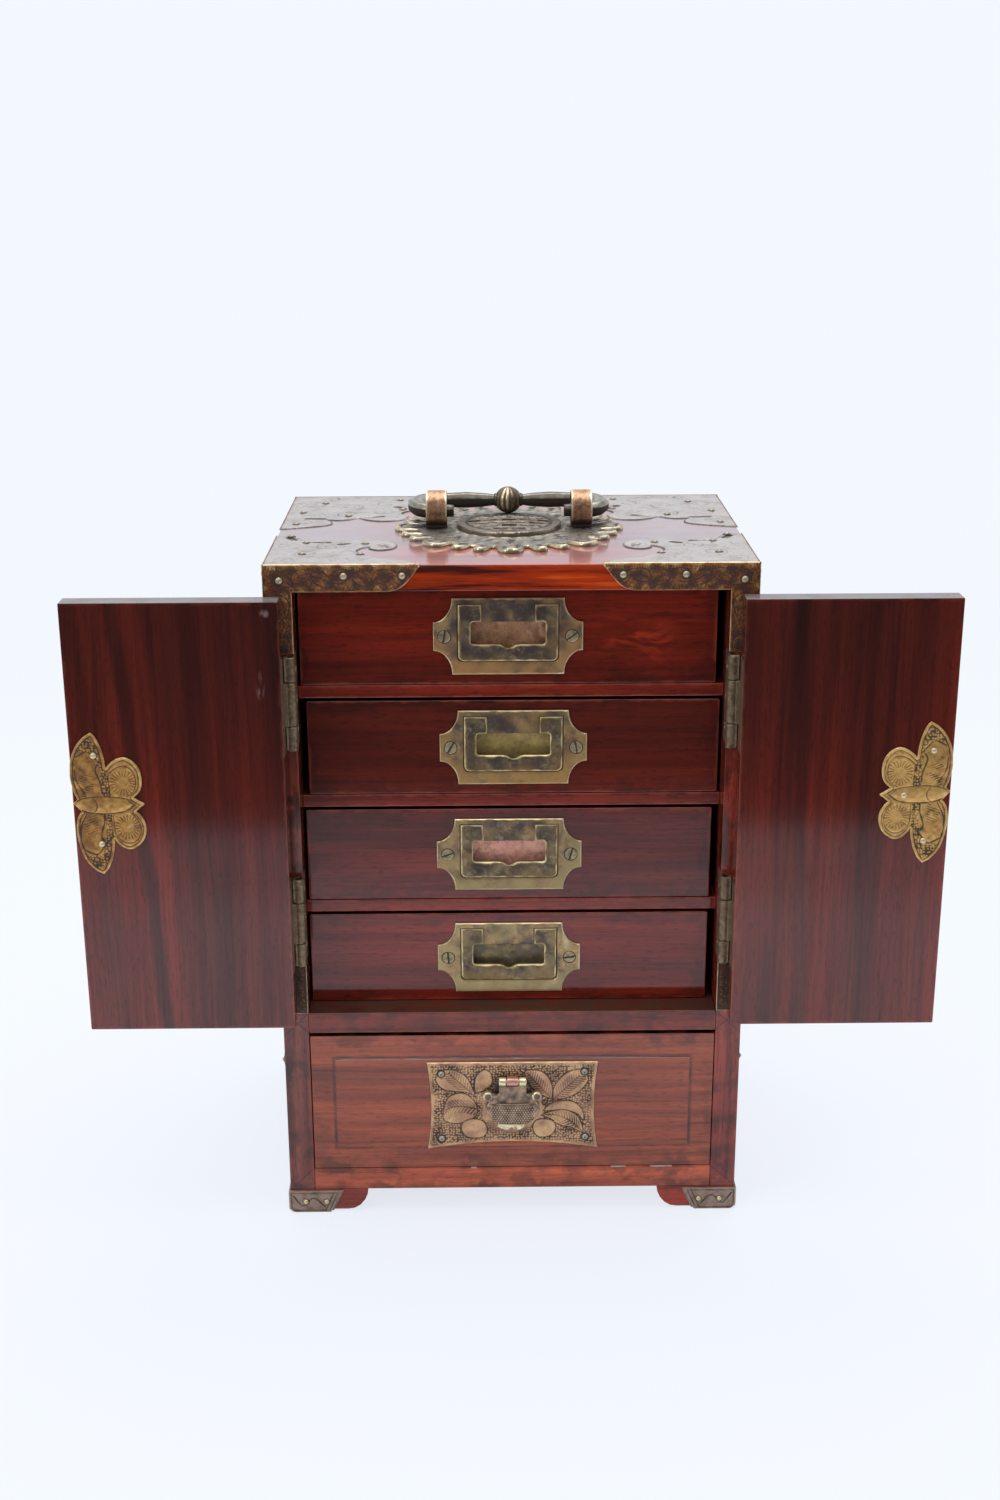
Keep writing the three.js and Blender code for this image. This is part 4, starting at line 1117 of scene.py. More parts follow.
def strap_design(reach, seed):
    """Overlapping veined leaves, a ticked fold and dark and golden patches over a strap and its leg."""
    top = CASE_TOP + MOUNT_THICKNESS
    middle_line = (top + TOP_BASE) / 2
    spots = []
    for i in range(int(reach / LEAF_PITCH)):
        spots.append((2.5 + LEAF_PITCH * i, middle_line + 1.3 * (-1) ** i, 24 * (-1) ** (i + 1)))
    spots += [(5.5, TOP_BASE - 1 - 8.6 * i, -90 + 18 * (-1) ** i) for i in range(3)]
    leaves = []
    for x, y, angle in spots:
        rim, rib = (np.array(line) @ turn_by(angle) + (x, y) for line in (STRAP_LEAF, STRAP_RIB))
        leaves.append((rim, rib, 11))

    def design(points, edge):
        along_line, height = points.T
        lines, covered = leaves_over(points, leaves, 0.26)
        on_leg = height < TOP_BASE
        beside = np.where(on_leg, along_line, height)
        run = np.where(on_leg, height, along_line)
        sweep = 2.2 * random_waves(points, 14, seed) - 1.1
        strokes = groove(((run * 1.1 + beside * sweep) % 1.3) - 0.65, 0.26) * ~covered
        fold = smooth(height, top - 1.0, top - 0.5)
        ticks = groove((along_line % 1.05) - 0.52, 0.26) * (height > top - 2.4) * (1 - fold)
        uneven, flecks = random_waves(points, 6.5, seed + 5), random_waves(points, 2.2, seed + 9)
        cuts = np.maximum(lines, strokes * 0.8) * (edge > 0.9)
        tone = 0.7 * uneven + 0.08 + 0.28 * (flecks - 0.5) - 0.5 * cuts + 0.3 * ticks + 0.45 * fold
        return -0.15 * cuts - 0.05 * ticks, unit(tone)

    return design


# Top plates, drawn from the middle of the front edge. Slots: place, length, width and turn. Curls: place,
# radius, turns, start and hand. Reach: how far the strap on the side runs.
TOP_PLATES = {
    "front": {
        "reach": 56,
        "rim": (
            [(100, 56), (95, 56.5), (90.5, 52), (87.5, 45.5)],
            [(87.5, 45.5), (82, 47), (77, 44.5), (72.5, 42.6), (68.5, 45.8)],
            [(68.5, 45.8), (64, 47.5), (57, 46.8), (51, 43.5), (47.5, 37.5), (48.5, 30), (54, 26.5),
             (58.6, 29), (59.6, 33.5)],
            [(59.6, 33.5), (62.5, 30), (63.5, 24.5), (61, 19), (56, 13.8), (50, 9.5), (44, 7.4), (40, 4.5),
             (37, -0.6)],
        ),
        "slots": (
            ((93, 49.5), 7, 2, 60), ((80.5, 42.2), 9, 1.7, 5), ((52.8, 34), 6.5, 1.6, 70),
            ((70, 38.5), 5, 1.6, -30),
        ),
        "curls": (
            ((90, 36), 6, 1.4, 100, 1), ((76, 33), 5.5, 1.3, 60, -1), ((84, 20), 7, 1.5, 200, 1),
            ((68, 22), 5.5, 1.3, 20, -1), ((71, 9), 4.6, 1.2, 150, 1), ((92, 8), 4.8, 1.2, 330, 1),
            ((54.5, 36), 4.6, 1.0, 300, -1), ((56, 20), 4, 1.1, 80, 1),
        ),
        "nails": ((86, 41), (86, 19), (62, 18), (61, 38.5), (93.5, 54)),
    },
    "back": {
        "reach": 71,
        "rim": (
            [(100, 71), (92, 73.5), (84, 76.5), (78.5, 80.5), (78.5, 86), (81, 90.5)],
            [(81, 90.5), (76, 89.5), (71.5, 91), (67.5, 94.5), (64, 90.5), (58, 87.3), (51, 88), (46, 92),
             (44.5, 98)],
            [(44.5, 98), (47.5, 103), (46.5, 108.5), (42, 112), (38.5, 117), (38.5, 125), (41.5, 131),
             (39, 138), (37, 145.6)],
        ),
        "slots": (
            ((86.5, 92.5), 9, 2.2, 4), ((60, 96), 8, 2, -20), ((49.5, 117), 8, 2.1, 60),
            ((44.5, 134), 6, 1.8, 100),
        ),
        "curls": (
            ((91, 84), 4.6, 1.3, 40, 1), ((88, 104), 7, 1.5, 120, -1), ((72, 102), 6.4, 1.4, 240, 1),
            ((90, 124), 7.5, 1.5, 30, 1), ((72, 120), 7, 1.4, 300, -1), ((57, 106), 5.6, 1.3, 90, 1),
            ((56, 125), 6, 1.3, 180, -1), ((82, 138), 4.6, 1.2, 0, 1), ((52, 94.5), 4, 1.1, 330, 1),
            ((63, 138), 4.4, 1.2, 210, 1),
        ),
        "nails": ((84.6, 128), (72, 98), (94, 80), (50, 135), (48, 112), (93, 106)),
    },
}


def curled_design(curls, seed):
    """Engraved curls over a plate, and a dark band at its rim that is painted shadow along the plate's edge.
    """
    drawn = [spiral(*curl) for curl in curls]

    def design(points, edge):
        # The band at the rim is painted shadow along the edge.
        lines = np.maximum(engraved(points, drawn, 0.42), smooth(edge, 1.3, 0.4))
        uneven = random_waves(points, 24, seed)
        faint = 0.25 + 0.75 * random_waves(points, 16, seed + 2)
        lines = lines * np.where(edge < 1.3, 1, faint)
        return -0.2 * lines, unit(0.45 + 0.35 * uneven - 0.5 * lines)

    return design


class CABINET_OT_mounts(bpy.types.Operator):
    """Builds the engraved mounts over the four top corners"""

    bl_idname = "cabinet.mounts"
    bl_label = "Corner mounts"

    def execute(self, context):
        strap_brass = brass(
            "corner_mount_brass", "bronze", (2.1, 1.7, 1.1), (0.9, 0.6, 0.45), stain=(0.17, 0.05, 0.022),
            stains=0.55, scale=130.0, bright=(0.7, 0.52, 0.26), patina=(0.05, 0.02, 0.014),
        )
        nail_brass = brass(
            "nail_brass", None, (0.34, 0.27, 0.17), stains=0.3, scale=260.0, bright=(0.6, 0.5, 0.33),
        )
        dull_nails = brass(
            "top_nail_brass", None, (0.24, 0.2, 0.16), stains=0.4, scale=260.0, bright=(0.34, 0.29, 0.22),
        )
        top_brass = brass(
            "top_plate_brass", None, (0.52, 0.48, 0.46), (0.36, 0.32, 0.3), stains=0.2,
            bright=(0.6, 0.55, 0.5), shine=1.0,
        )
        t = MOUNT_THICKNESS
        for end, turn in ENDS.items():
            plate = TOP_PLATES[end]
            reach, face = plate["reach"], FRONT if end == "front" else BACK
            edge_x, edge_y = HALF_CASE + t, face - FRONT + turn * t
            edges = [(37, edge_y), (edge_x, edge_y)], [(edge_x, edge_y), (edge_x, reach)]
            rim, holes = outline_of(*plate["rim"], *edges), [slot_outline(*slot) for slot in plate["slots"]]
            for side, sign in SIDES.items():
                corner = (sign * HALF_CASE, face, 0)
                strap, flank = place(corner, -sign * X, Z, turn * Y), place(corner, -turn * Y, Z, sign * X)
                top = place((0, FRONT, CASE_TOP), sign * X, Y, Z)
                straps, cover, nails, top_nails = Shape(), Shape(), Shape(), Shape()
                front = strap_outline(HALF_CASE - STRAP_TIP, HALF_CASE - STRAP_TIP_LOW)
                straps.relief(strap, front, t, design=strap_design(62, 3), rim=0.3, step=0.36)
                side_strap = strap_outline(reach, reach - 12.5)
                straps.relief(flank, side_strap, t, design=strap_design(reach, 8), rim=0.3, step=COARSE_STEP)
                cover.relief(top, rim, t, holes, curled_design(plate["curls"], 12), step=0.5, rim=0.3, glow=0)
                for away, drop in STRAP_NAILS[side]:
                    nails.nail(moved(strap, t), HALF_CASE - away, CASE_TOP - 4.3 - drop)
                    nails.nail(moved(flank, t), (HALF_CASE - away) * reach / 63, CASE_TOP - 4.3)
                nails.nail(moved(flank, t), 5.5, TOP_BASE - LEG_DROP + 4)
                for u, v in plate["nails"]:
                    top_nails.nail(moved(top, t), u, v, radius=1.3)
                name = f"corner_mount_{end}_{side}"
                straps.piece(name + "_straps", "case", strap_brass, "aged_brass", [name])
                cover.piece(name + "_top_plate", "case", top_brass, "aged_brass")
                nails.piece(name + "_nails", "case", nail_brass, "aged_brass")
                top_nails.piece(name + "_top_nails", "case", dull_nails, "aged_brass")
        return {"FINISHED"}


# Brackets on the stiles and trims on the sides of the base
BRACKET_TOP = 122.8
TRIM = ([(-9, 0), (-6, 3.6), (0, 5), (6, 3.6), (9, 0)], [(9, 0), (6, -3.6), (0, -5), (-6, -3.6), (-9, 0)])


def bracket_design(points, edge):
    """Slanting hatch with a bare strip along the opening."""
    hatch = groove(((points[:, 1] + points[:, 0] * 1.1) % 1.2) - 0.6, 0.22) * (points[:, 0] > 3) * (edge > 1)
    lines = np.maximum(hatch, groove(edge - 0.9, 0.18) * 0.7)
    return -0.15 * lines, unit(0.25 + 0.35 * random_waves(points, 8, 4) - 0.55 * lines)


class CABINET_OT_brackets(bpy.types.Operator):
    """Builds the hatched brackets at the foot of the stiles and the small trims on the base's sides"""

    bl_idname = "cabinet.brackets"
    bl_label = "Brackets and trims"

    def execute(self, context):
        material = brass("bracket_brass", "bronze", (0.52, 0.31, 0.23), 0.26, stains=0.5, scale=140.0)
        for side, sign in SIDES.items():
            shape = Shape()
            where = place((sign * HALF_OPENING, FRONT, 0), sign * X, Z, -Y)
            rim = [(0, RAIL_TOP + 0.2), (11, RAIL_TOP + 0.2), (11, BRACKET_TOP), (0, BRACKET_TOP)]
            shape.relief(where, rim, 0.6, design=bracket_design, step=0.4)
            shape.nail(moved(where, 0.6), 7.6, RAIL_TOP + 6, radius=1.1)
            trim_place = place((sign * HALF_CASE, FRONT + 14, 73), Y, Z, sign * X)
            curl = curled_design([((0, 0), 3, 1.2, 0, 1)], 3)
            shape.relief(trim_place, outline_of(*TRIM), 1.1, design=curl, step=0.5)
            for u in (-6.2, 6.2):
                shape.nail(moved(trim_place, 1.1), u, 0, radius=1.0)
            shape.piece(f"{side}_brackets", "case", material, "aged_brass")
        return {"FINISHED"}


# Medallion, roundel, loops and handle
MEDALLION_PERIOD = 45
WIDE_LOBE = 7.7
SMALL_LOBE = 4.7
SMALL_PLACE = 16.2
NOTCH_RADIUS = 40.5
FRET_PITCH = 5.2
FRET_BAR = 1.9
# Openings sunk deeper and painted dark, as the shade seen through piercings: column and row.
PIERCED = ((0, 0), (-2, 0), (2, 0), (0, -2), (2, -1), (-1, 2), (1, 2))


def folded_angle(points):
    """Degrees from the middle of the nearest wide lobe, the first of which faces the front."""
    angle = np.degrees(np.arctan2(points[:, 0], -points[:, 1]))
    half = MEDALLION_PERIOD / 2
    return np.abs((angle + half) % MEDALLION_PERIOD - half)


def medallion_outline():
    angles = np.arange(0, 360, 0.6)
    ahead = np.column_stack([np.sin(np.radians(angles)), -np.cos(np.radians(angles))])
    away = folded_angle(ahead)
    wide = unit(1 - np.abs(away / WIDE_LOBE) ** 3) ** 0.5
    small = unit(1 - np.abs((away - SMALL_PLACE) / SMALL_LOBE) ** 2.6) ** 0.5
    radius = NOTCH_RADIUS + np.maximum(9.3 * wide, 7.8 * small)
    return ahead * radius[:, None]


def medallion_design(points, edge):
    """A shallow dish with a rolled, lobed rim, engraved curls and a beaded ring inside, and painted light and
    shade.
    """
    away, reach = folded_angle(points), np.hypot(*points.T)
    wide = np.exp(-((away / 6.5) ** 2)) * smooth(reach, 38, 43)
    small = np.exp(-(((away - SMALL_PLACE) / 3.8) ** 2)) * smooth(reach, 38, 43)
    lobe = np.maximum(wide, small)
    flecks = random_waves(points, 3.6, 77)
    hollow = np.exp(-(((reach - 31) / 2.4) ** 2)) * (0.5 + 0.5 * np.cos(np.radians(away * 16)))
    bead_turn = np.arctan2(points[:, 1], points[:, 0]) * 36 / math.pi
    beads = np.exp(-(((reach - 25.2) / 1.0) ** 2)) * np.abs(np.cos(bead_turn))
    folded = np.column_stack([reach * np.sin(np.radians(away)), reach * np.cos(np.radians(away))])
    curls = [spiral((5.8, 33), 3.4, 1.3, 250, -1), [(0, 27), (0, 42)], spiral((11.6, 37.5), 2.3, 1.0, 60, 1)]
    curls += [[(0, 30 + 3.5 * i), (3.2 + 0.4 * i, 34.5 + 3.5 * i)] for i in range(3)]
    lines = engraved(folded, curls, 0.42)
    # Painted shadow of the loops on the dish round where they stand; the engraving shows most in it.
    shaded = np.exp(-(((np.abs(points[:, 0]) - HANDLE_SPAN) / 8) ** 2) - (points[:, 1] / 13) ** 2)
    lines = lines * (0.3 + 0.7 * shaded)
    uneven = random_waves(points, 7, 15)
    # The rolled rim of the lobes is raised and brightened as a painted highlight.
    roll = groove(edge - 1.0, 0.75) * lobe
    ditch = groove(edge - 2.9, 0.5) * smooth(reach, 38, 41)
    height = 0.35 * lobe + 0.45 * roll + 0.5 * beads - 0.4 * hollow - 0.4 * lines - 0.3 * ditch
    tone = 0.48 + 0.5 * roll * uneven + 0.35 * (uneven - 0.5) + 0.5 * (flecks - 0.5) - 0.6 * lines
    between = (1 - lobe) * smooth(reach, 39, 41)
    tone -= 0.25 * hollow + 0.45 * ditch + 0.42 * shaded * random_waves(points, 5, 4) + 0.3 * between
    return height, unit(tone)


def fret_openings(points):
    """1 in the deep openings of a brick-like lattice, sunk and painted dark as the shade seen through
    piercings, less in the others.
    """
    row = np.floor(points[:, 1] / FRET_PITCH + 0.5)
    up = points[:, 1] - row * FRET_PITCH
    length = FRET_PITCH * 1.5
    along_row = points[:, 0] + (row % 2) * length / 2
    column = np.round(along_row / length)
    across = along_row - column * length
    tall, wide = (FRET_PITCH - FRET_BAR) / 2, (length - FRET_BAR) / 2
    opening = np.minimum(tall - np.abs(up), wide - np.abs(across))
    inner = 17.6 - np.hypot(*points.T)
    pierced = np.zeros(len(points), bool)
    for at_column, at_row in PIERCED:
        pierced |= (row == at_row) & (column == at_column)
    return smooth(np.minimum(opening, inner), -0.1, 0.25) * np.where(pierced, 1.0, 0.3)


def roundel_design(points, edge):
    """A domed lattice inside a plain raised rim, with openings painted dark and painted shadow in a groove at
    the rim's foot.
    """
    holes = fret_openings(points)
    reach = np.hypot(*points.T)
    inside_bar = np.abs(points[:, 1] % FRET_PITCH - FRET_PITCH / 2)
    within = smooth(reach, 18.9, 18.2)
    score = groove(inside_bar - 0.05, 0.2) * (1 - holes) * within
    # A groove at the foot of the rim, darkened as painted shadow.
    ledge = groove(reach - 18.6, 0.55)
    dome = 1.0 * unit(1 - (reach / 18.6) ** 2)
    height = dome - 0.5 * ledge - 1.6 * holes - 0.25 * score
    tone = 0.45 + 0.25 * (random_waves(points, 6, 2) - 0.5) - 1.0 * holes - 0.35 * score - 0.5 * ledge
    return height, unit(tone)


# Tones across the loop's face and sides: the bright edges are painted highlights as well as wear.
LOOP_FACE = (0.95, 0.5, 0.42, 0.5, 0.4, 0.36, 0.44, 0.38, 0.48, 0.5, 0.95)
LOOP_SIDE = (0.65, 0.2, 0.1, 0.1, 0.2, 0.65)
LOOP_RADIUS = 7.7
LOOP_THICKNESS = 1.5
LOOP_WIDTH = 9.1
LOOP_RISE = 8.2
LOOP_FOOT = (4.5, 3.4, 1.6)
ROUNDEL_RADIUS = 22.8


def loop_ring(center, steps=52):
    """Rings of points round a flat strap bent into a circle about the X direction, and their tones."""
    half, mid, soft = LOOP_WIDTH / 2, LOOP_THICKNESS / 2, 0.3
    section = [(u, mid) for u in np.linspace(-half + soft, half - soft, len(LOOP_FACE))]
    section += [
        (half, mid - soft), (half, -mid + soft), (half - soft, -mid), (-half + soft, -mid),
        (-half, -mid + soft), (-half, mid - soft),
    ]
    rings, tones = [], []
    for angle in np.arange(steps) * 2 * math.pi / steps:
        out = np.array((0, math.cos(angle), math.sin(angle)))
        rings.append([center + u * X + out * (LOOP_RADIUS - mid + v) for u, v in section])
        worn = np.array((*LOOP_FACE, *LOOP_SIDE))
        # Painted shade on the lower part of the loop and a painted highlight on its top.
        low_down, up_top = smooth(out[2], -0.25, -0.8), smooth(out[2], 0.45, 0.9)
        tones.append(worn * (1 - 0.9 * low_down) + 0.14 * up_top * (worn < 0.9) + 0.06 * math.sin(angle * 9))
    return rings, unit(np.concatenate(tones))


HANDLE_SPAN = 31.5
HANDLE_REACH = 19.0
HANDLE_HOOK = 24.0
HANDLE_PIVOT = 306.6
HANDLE_TILT = math.radians(3.47)
BALL_RADIUS = 5.9
BALL_FLUTES = 14
BALL_STEPS = 84
# Half thickness of the bar at distances from the middle of the ball
BAR_SWELL = (
    (5, 2.4), (6.5, 2.5), (8.3, 2.8), (11.2, 3.15), (14.9, 3.4), (18.5, 3.65), (22.1, 3.5), (25.7, 3.3),
    (31.5, 3.1),
)


def handle_line():
    """The line from the ball to the right hook: points, half widths, half heights and inner swelling."""
    bend = HANDLE_REACH / 2
    angles = np.radians(np.linspace(82, -90, 26))
    straight = [(x, HANDLE_REACH) for x in np.linspace(5.0, HANDLE_SPAN, 26)]
    turn = [(HANDLE_SPAN + bend * math.cos(a), bend + bend * math.sin(a)) for a in angles]
    hook = [(x, 0.0) for x in np.linspace(HANDLE_SPAN - 1.5, HANDLE_HOOK, 6)]
    line = np.array([*straight, *turn, *hook])
    swell = 0.92 * np.interp(line[:26, 0], *zip(*BAR_SWELL))
    bulge = np.sin(np.linspace(0.1, math.pi, 26))
    flat = np.concatenate([swell, 2.75 + 0.45 * bulge, np.linspace(2.7, 2.3, 6)])
    tall = np.concatenate([swell, 3.1 + 0.1 * bulge, np.linspace(3.0, 2.4, 6)])
    inward = np.concatenate([np.zeros(26), 0.6 * bulge, np.zeros(6)])
    return line, flat, tall, inward


def handle_point(x, y, z=0.0):
    """A point of the flat handle turned to where it rests."""
    c, s = math.cos(HANDLE_TILT), math.sin(HANDLE_TILT)
    return np.array((x, MEDALLION_Y + y * c - z * s, HANDLE_PIVOT + y * s + z * c))


def octagon(angle):
    """How far the rim of an eight-sided section with softened corners lies out at an angle."""
    off = (angle + math.pi / 8) % (math.pi / 4) - math.pi / 8
    return min(1 / math.cos(off), 1.055)


def build_handle(shape):
    """The two arms of the handle and the collars beside its ball."""
    line, flat, tall, inward = handle_line()
    ways = np.gradient(line, axis=0)
    angles = np.arange(32) * 2 * math.pi / 32
    # Painted highlight on the upper facets and the corners of the bar, as well as wear.
    corner = (0.5 - 0.5 * np.cos(8 * angles)) ** 3
    lit = np.sin(angles)
    worn = unit(0.1 + 0.5 * smooth(lit, 0.3, 0.42) + 0.3 * corner * (lit > -0.3))
    for sign in (1, -1):
        rings, tones = [], []
        for (x, y), way, half, height, swell in zip(line, ways, flat, tall, inward):
            side = np.array((way[1], -way[0])) / np.hypot(*way)
            ring = []
            for a in angles:
                c, s = math.cos(a) * octagon(a), math.sin(a) * octagon(a)
                u, w = half * c * (1 + swell * (c > 0)), height * s
                ring.append(handle_point(sign * (x + side[0] * u), y + side[1] * u, w))
            rings.append(ring if sign > 0 else ring[::-1])
            rubbed = worn + 0.22 * smooth(np.array(x), HANDLE_SPAN - 2, HANDLE_SPAN + 5) * (worn > 0.4)
            tones.append(rubbed if sign > 0 else rubbed[::-1])
        tones[-1] = tones[-1] * 0.3
        shape.loft(rings, np.concatenate(tones))
    for sign in (-1, 1):
        center = handle_point(0, HANDLE_REACH)
        collar = [(2.4, 4.9), (2.95, 5.2), (2.95, 5.8), (2.5, 6.4)]
        shape.turned(place(center, sign * Y, Z), collar, [0.2, 0.5, 0.5, 0.2], steps=24)


def build_ball(shape):
    """The fluted ball in the middle of the bar, with dark grooves between bright flutes."""
    center = handle_point(0, HANDLE_REACH)
    turn = np.arange(BALL_STEPS) * 2 * math.pi / BALL_STEPS
    ridge = np.abs(np.sin(turn * BALL_FLUTES / 2 + 0.5)) ** 0.8
    profile, tones = [], []
    for a in np.radians(np.linspace(-84, 84, 29)):
        profile.append((BALL_RADIUS * math.cos(a), BALL_RADIUS * math.sin(a)))
        # Painted shade on the lower half of the ball and painted highlights on its flutes, brighter on some
        # sides.
        level = smooth(np.array(math.degrees(a)), -70, -10)
        tones.append(unit(0.02 + (0.25 + 0.7 * level) * ridge * (0.65 + 0.35 * np.sin(turn * 3 + 1))))
    tones = np.concatenate(tones)
    shape.turned(place(center, X, Y), profile, tones, steps=BALL_STEPS, radius_change=0.95 + 0.07 * ridge)


class CABINET_OT_top_fittings(bpy.types.Operator):
    """Builds the lobed medallion, the roundel with its dark-painted openings, the strap loops and the
    carrying handle
    """

    bl_idname = "cabinet.top_fittings"
    bl_label = "Medallion and handle"

    def execute(self, context):
        dark = brass(
            "medallion_brass", "olive", (1.35, 1.65, 2.1), (0.8, 0.95, 1.2),
            stain=(0.13, 0.1, 0.06), stains=0.4, scale=120.0, shine=0.9,
        )
        grey = brass(
            "roundel_brass", "olive", (0.93, 1.04, 1.3), stains=0.3, shine=0.9, bright=(0.46, 0.4, 0.3),
        )
        copper = brass(
            "loop_brass", "bronze", (2.7, 3.1, 3.3), (1.0, 0.95, 0.9),
            stain=(0.22, 0.12, 0.06), stains=0.5, scale=150.0, shine=0.6, bright=(0.85, 0.74, 0.55),
        )
        bar = brass(
            "handle_brass", "olive", (0.32, 0.36, 0.4), 0.22, stains=0.3,
            shine=0.8, bright=(0.325, 0.31, 0.26),
        )
        ball_brass = brass(
            "ball_brass", "olive", (1.1, 1.05, 1.0), 0.45, stains=0.3, scale=200.0,
            shine=0.75, bright=(0.95, 0.82, 0.52),
        )
        plate, flat = Shape(), on_top(CASE_TOP, 0, MEDALLION_Y)
        plate.relief(flat, medallion_outline(), 1.5, design=medallion_design, step=0.5, rim=0.8, glow=0.8)
        plate.piece("medallion_relief", "case", dark, "aged_brass", ["medallion"])
        base = high("medallion")[2]
        disc, flat = Shape(), on_top(base, 0, MEDALLION_Y)
        rim = circle((0, 0), ROUNDEL_RADIUS, 96)
        disc.relief(flat, rim, 2.0, design=roundel_design, step=0.36, rim=0.4, glow=0.5)
        disc.piece("roundel_fretwork", "case", grey, "aged_brass", ["roundel"])
        for side, sign in SIDES.items():
            loop = Shape()
            x = sign * HANDLE_SPAN
            rings, tones = loop_ring(np.array((x, MEDALLION_Y, base + LOOP_RISE)))
            loop.loft(rings, tones, closed=True)
            wide, deep, tall = LOOP_FOOT
            start, end = (x - wide, MEDALLION_Y - deep, base - 0.1), (x + wide, MEDALLION_Y + deep)
            loop.block(start, (*end, base + tall), tones=0.1)
            loop.turned(on_top(CASE_TOP - 8, x, MEDALLION_Y), [(1.6, 0), (1.6, 9)], steps=20)
            loop.piece(f"handle_loop_{side}_strap", "case", copper, "aged_brass", [f"handle_loop_{side}"])
        handle = Shape()
        build_handle(handle)
        handle.piece("carry_handle_bar", "carry_handle", bar, "aged_brass", ["carry_handle"])
        ball = Shape()
        build_ball(ball)
        ball.piece("carry_handle_ball", "carry_handle", ball_brass, "aged_brass")
        return {"FINISHED"}


# Hinges
HINGE_X = 90.6
HINGE_Y = 2.6
HINGE_RADIUS = 2.4
HINGE_HEIGHT = 40.0
END_KNUCKLE = 10.5
DOOR_LEAF = (93.1, 93.9)
CASE_LEAF = 0.8
CASE_WEB = 1.4
HINGE_SCREWS = (7, 20, 33)


def knuckle(shape, x, start, end, tone):
    """A barrel with softened ends about a vertical axis."""
    where = on_top(start, x, FRONT - HINGE_Y)
    length, radius, soft = end - start, HINGE_RADIUS, 0.3
    profile = [(radius - soft, 0), (radius, soft), (radius, length - soft), (radius - soft, length)]
    shape.turned(where, profile, tone, steps=28)


class CABINET_OT_hinges(bpy.types.Operator):
    """Builds the four hinges, with the leaves and barrels of case and door apart"""

    bl_idname = "cabinet.hinges"
    bl_label = "Hinges"

    def execute(self, context):
        metal = context.scene.cabinet_brass
        body, second = scaled(metal.olive, (0.85, 0.8, 0.75)), scaled(metal.bronze, 0.5)
        material = brass("hinge_brass", None, body, second, stains=0.5, scale=160.0)
        for side, sign in SIDES.items():
            for level in ("upper", "lower"):
                node = f"{side}_{level}_hinge"
                base = low(node + "_case_leaf")[2]
                top, x = base + HINGE_HEIGHT, sign * HINGE_X
                fixed, moving = Shape(), Shape()
                edges = sorted((sign * HALF_OPENING, sign * (HALF_OPENING + CASE_LEAF)))
                fixed.block((edges[0], FRONT, base), (edges[1], FRONT + 8, top), 0.2, 0.6)
                for start in (base, top - END_KNUCKLE):
                    web = sorted((sign * HALF_OPENING, sign * (HALF_OPENING + CASE_WEB)))
                    end = start + END_KNUCKLE
                    fixed.block((web[0], FRONT - HINGE_Y, start), (web[1], FRONT + 1, end), 0.2, 0.6)
                    knuckle(fixed, x, start, end, 0.55)
                for step in HINGE_SCREWS:
                    spot = (sign * HALF_OPENING, FRONT + 5, base + step)
                    head, slot = place(spot, sign * Y, Z, -sign * X), slot_design(20 * step)
                    fixed.relief(head, circle((0, 0), 1.4, 20), 0.25, design=slot, step=0.3, rim=0.15)
                fixed.turned(on_top(base, x, FRONT - HINGE_Y), [(1.1, 0), (1.1, HINGE_HEIGHT)], steps=12)
                leaf_edges = sorted(sign * edge for edge in DOOR_LEAF)
                moving.block((leaf_edges[0], FRONT - 13.2, base), (leaf_edges[1], FRONT - 5.2, top), 0.2, 0.6)
                start, end = base + END_KNUCKLE + 0.3, top - END_KNUCKLE - 0.3
                knuckle(moving, x, start, end, 0.55)
                web = sorted((sign * (HINGE_X + 1), sign * DOOR_LEAF[1]))
                moving.block((web[0], FRONT - 5.4, start), (web[1], FRONT - HINGE_Y, end), 0.2, 0.6)
                fixed.piece(node + "_fixed", "case", material, "plate_brass", [node + "_case_leaf"])
                moving.piece(node + "_moving", f"{side}_door", material, "plate_brass", [node + "_door_leaf"])
        return {"FINISHED"}


def slot_design(turn, width=0.26):
    """A screw's slot across a slightly domed head."""
    c, s = math.cos(math.radians(turn)), math.sin(math.radians(turn))

    def design(points, edge):
        across = points[:, 0] * s - points[:, 1] * c
        slot = smooth(np.abs(across), width * 1.6, width * 0.7)
        reach = np.hypot(*points.T) / max(np.hypot(*points.T).max(), 0.1)
        uneven = random_waves(points, 3.2, int(turn % 97))
        return 0.16 * (1 - reach ** 2) - 0.4 * slot, unit(0.3 + 0.35 * uneven - 0.6 * slot)

    return design


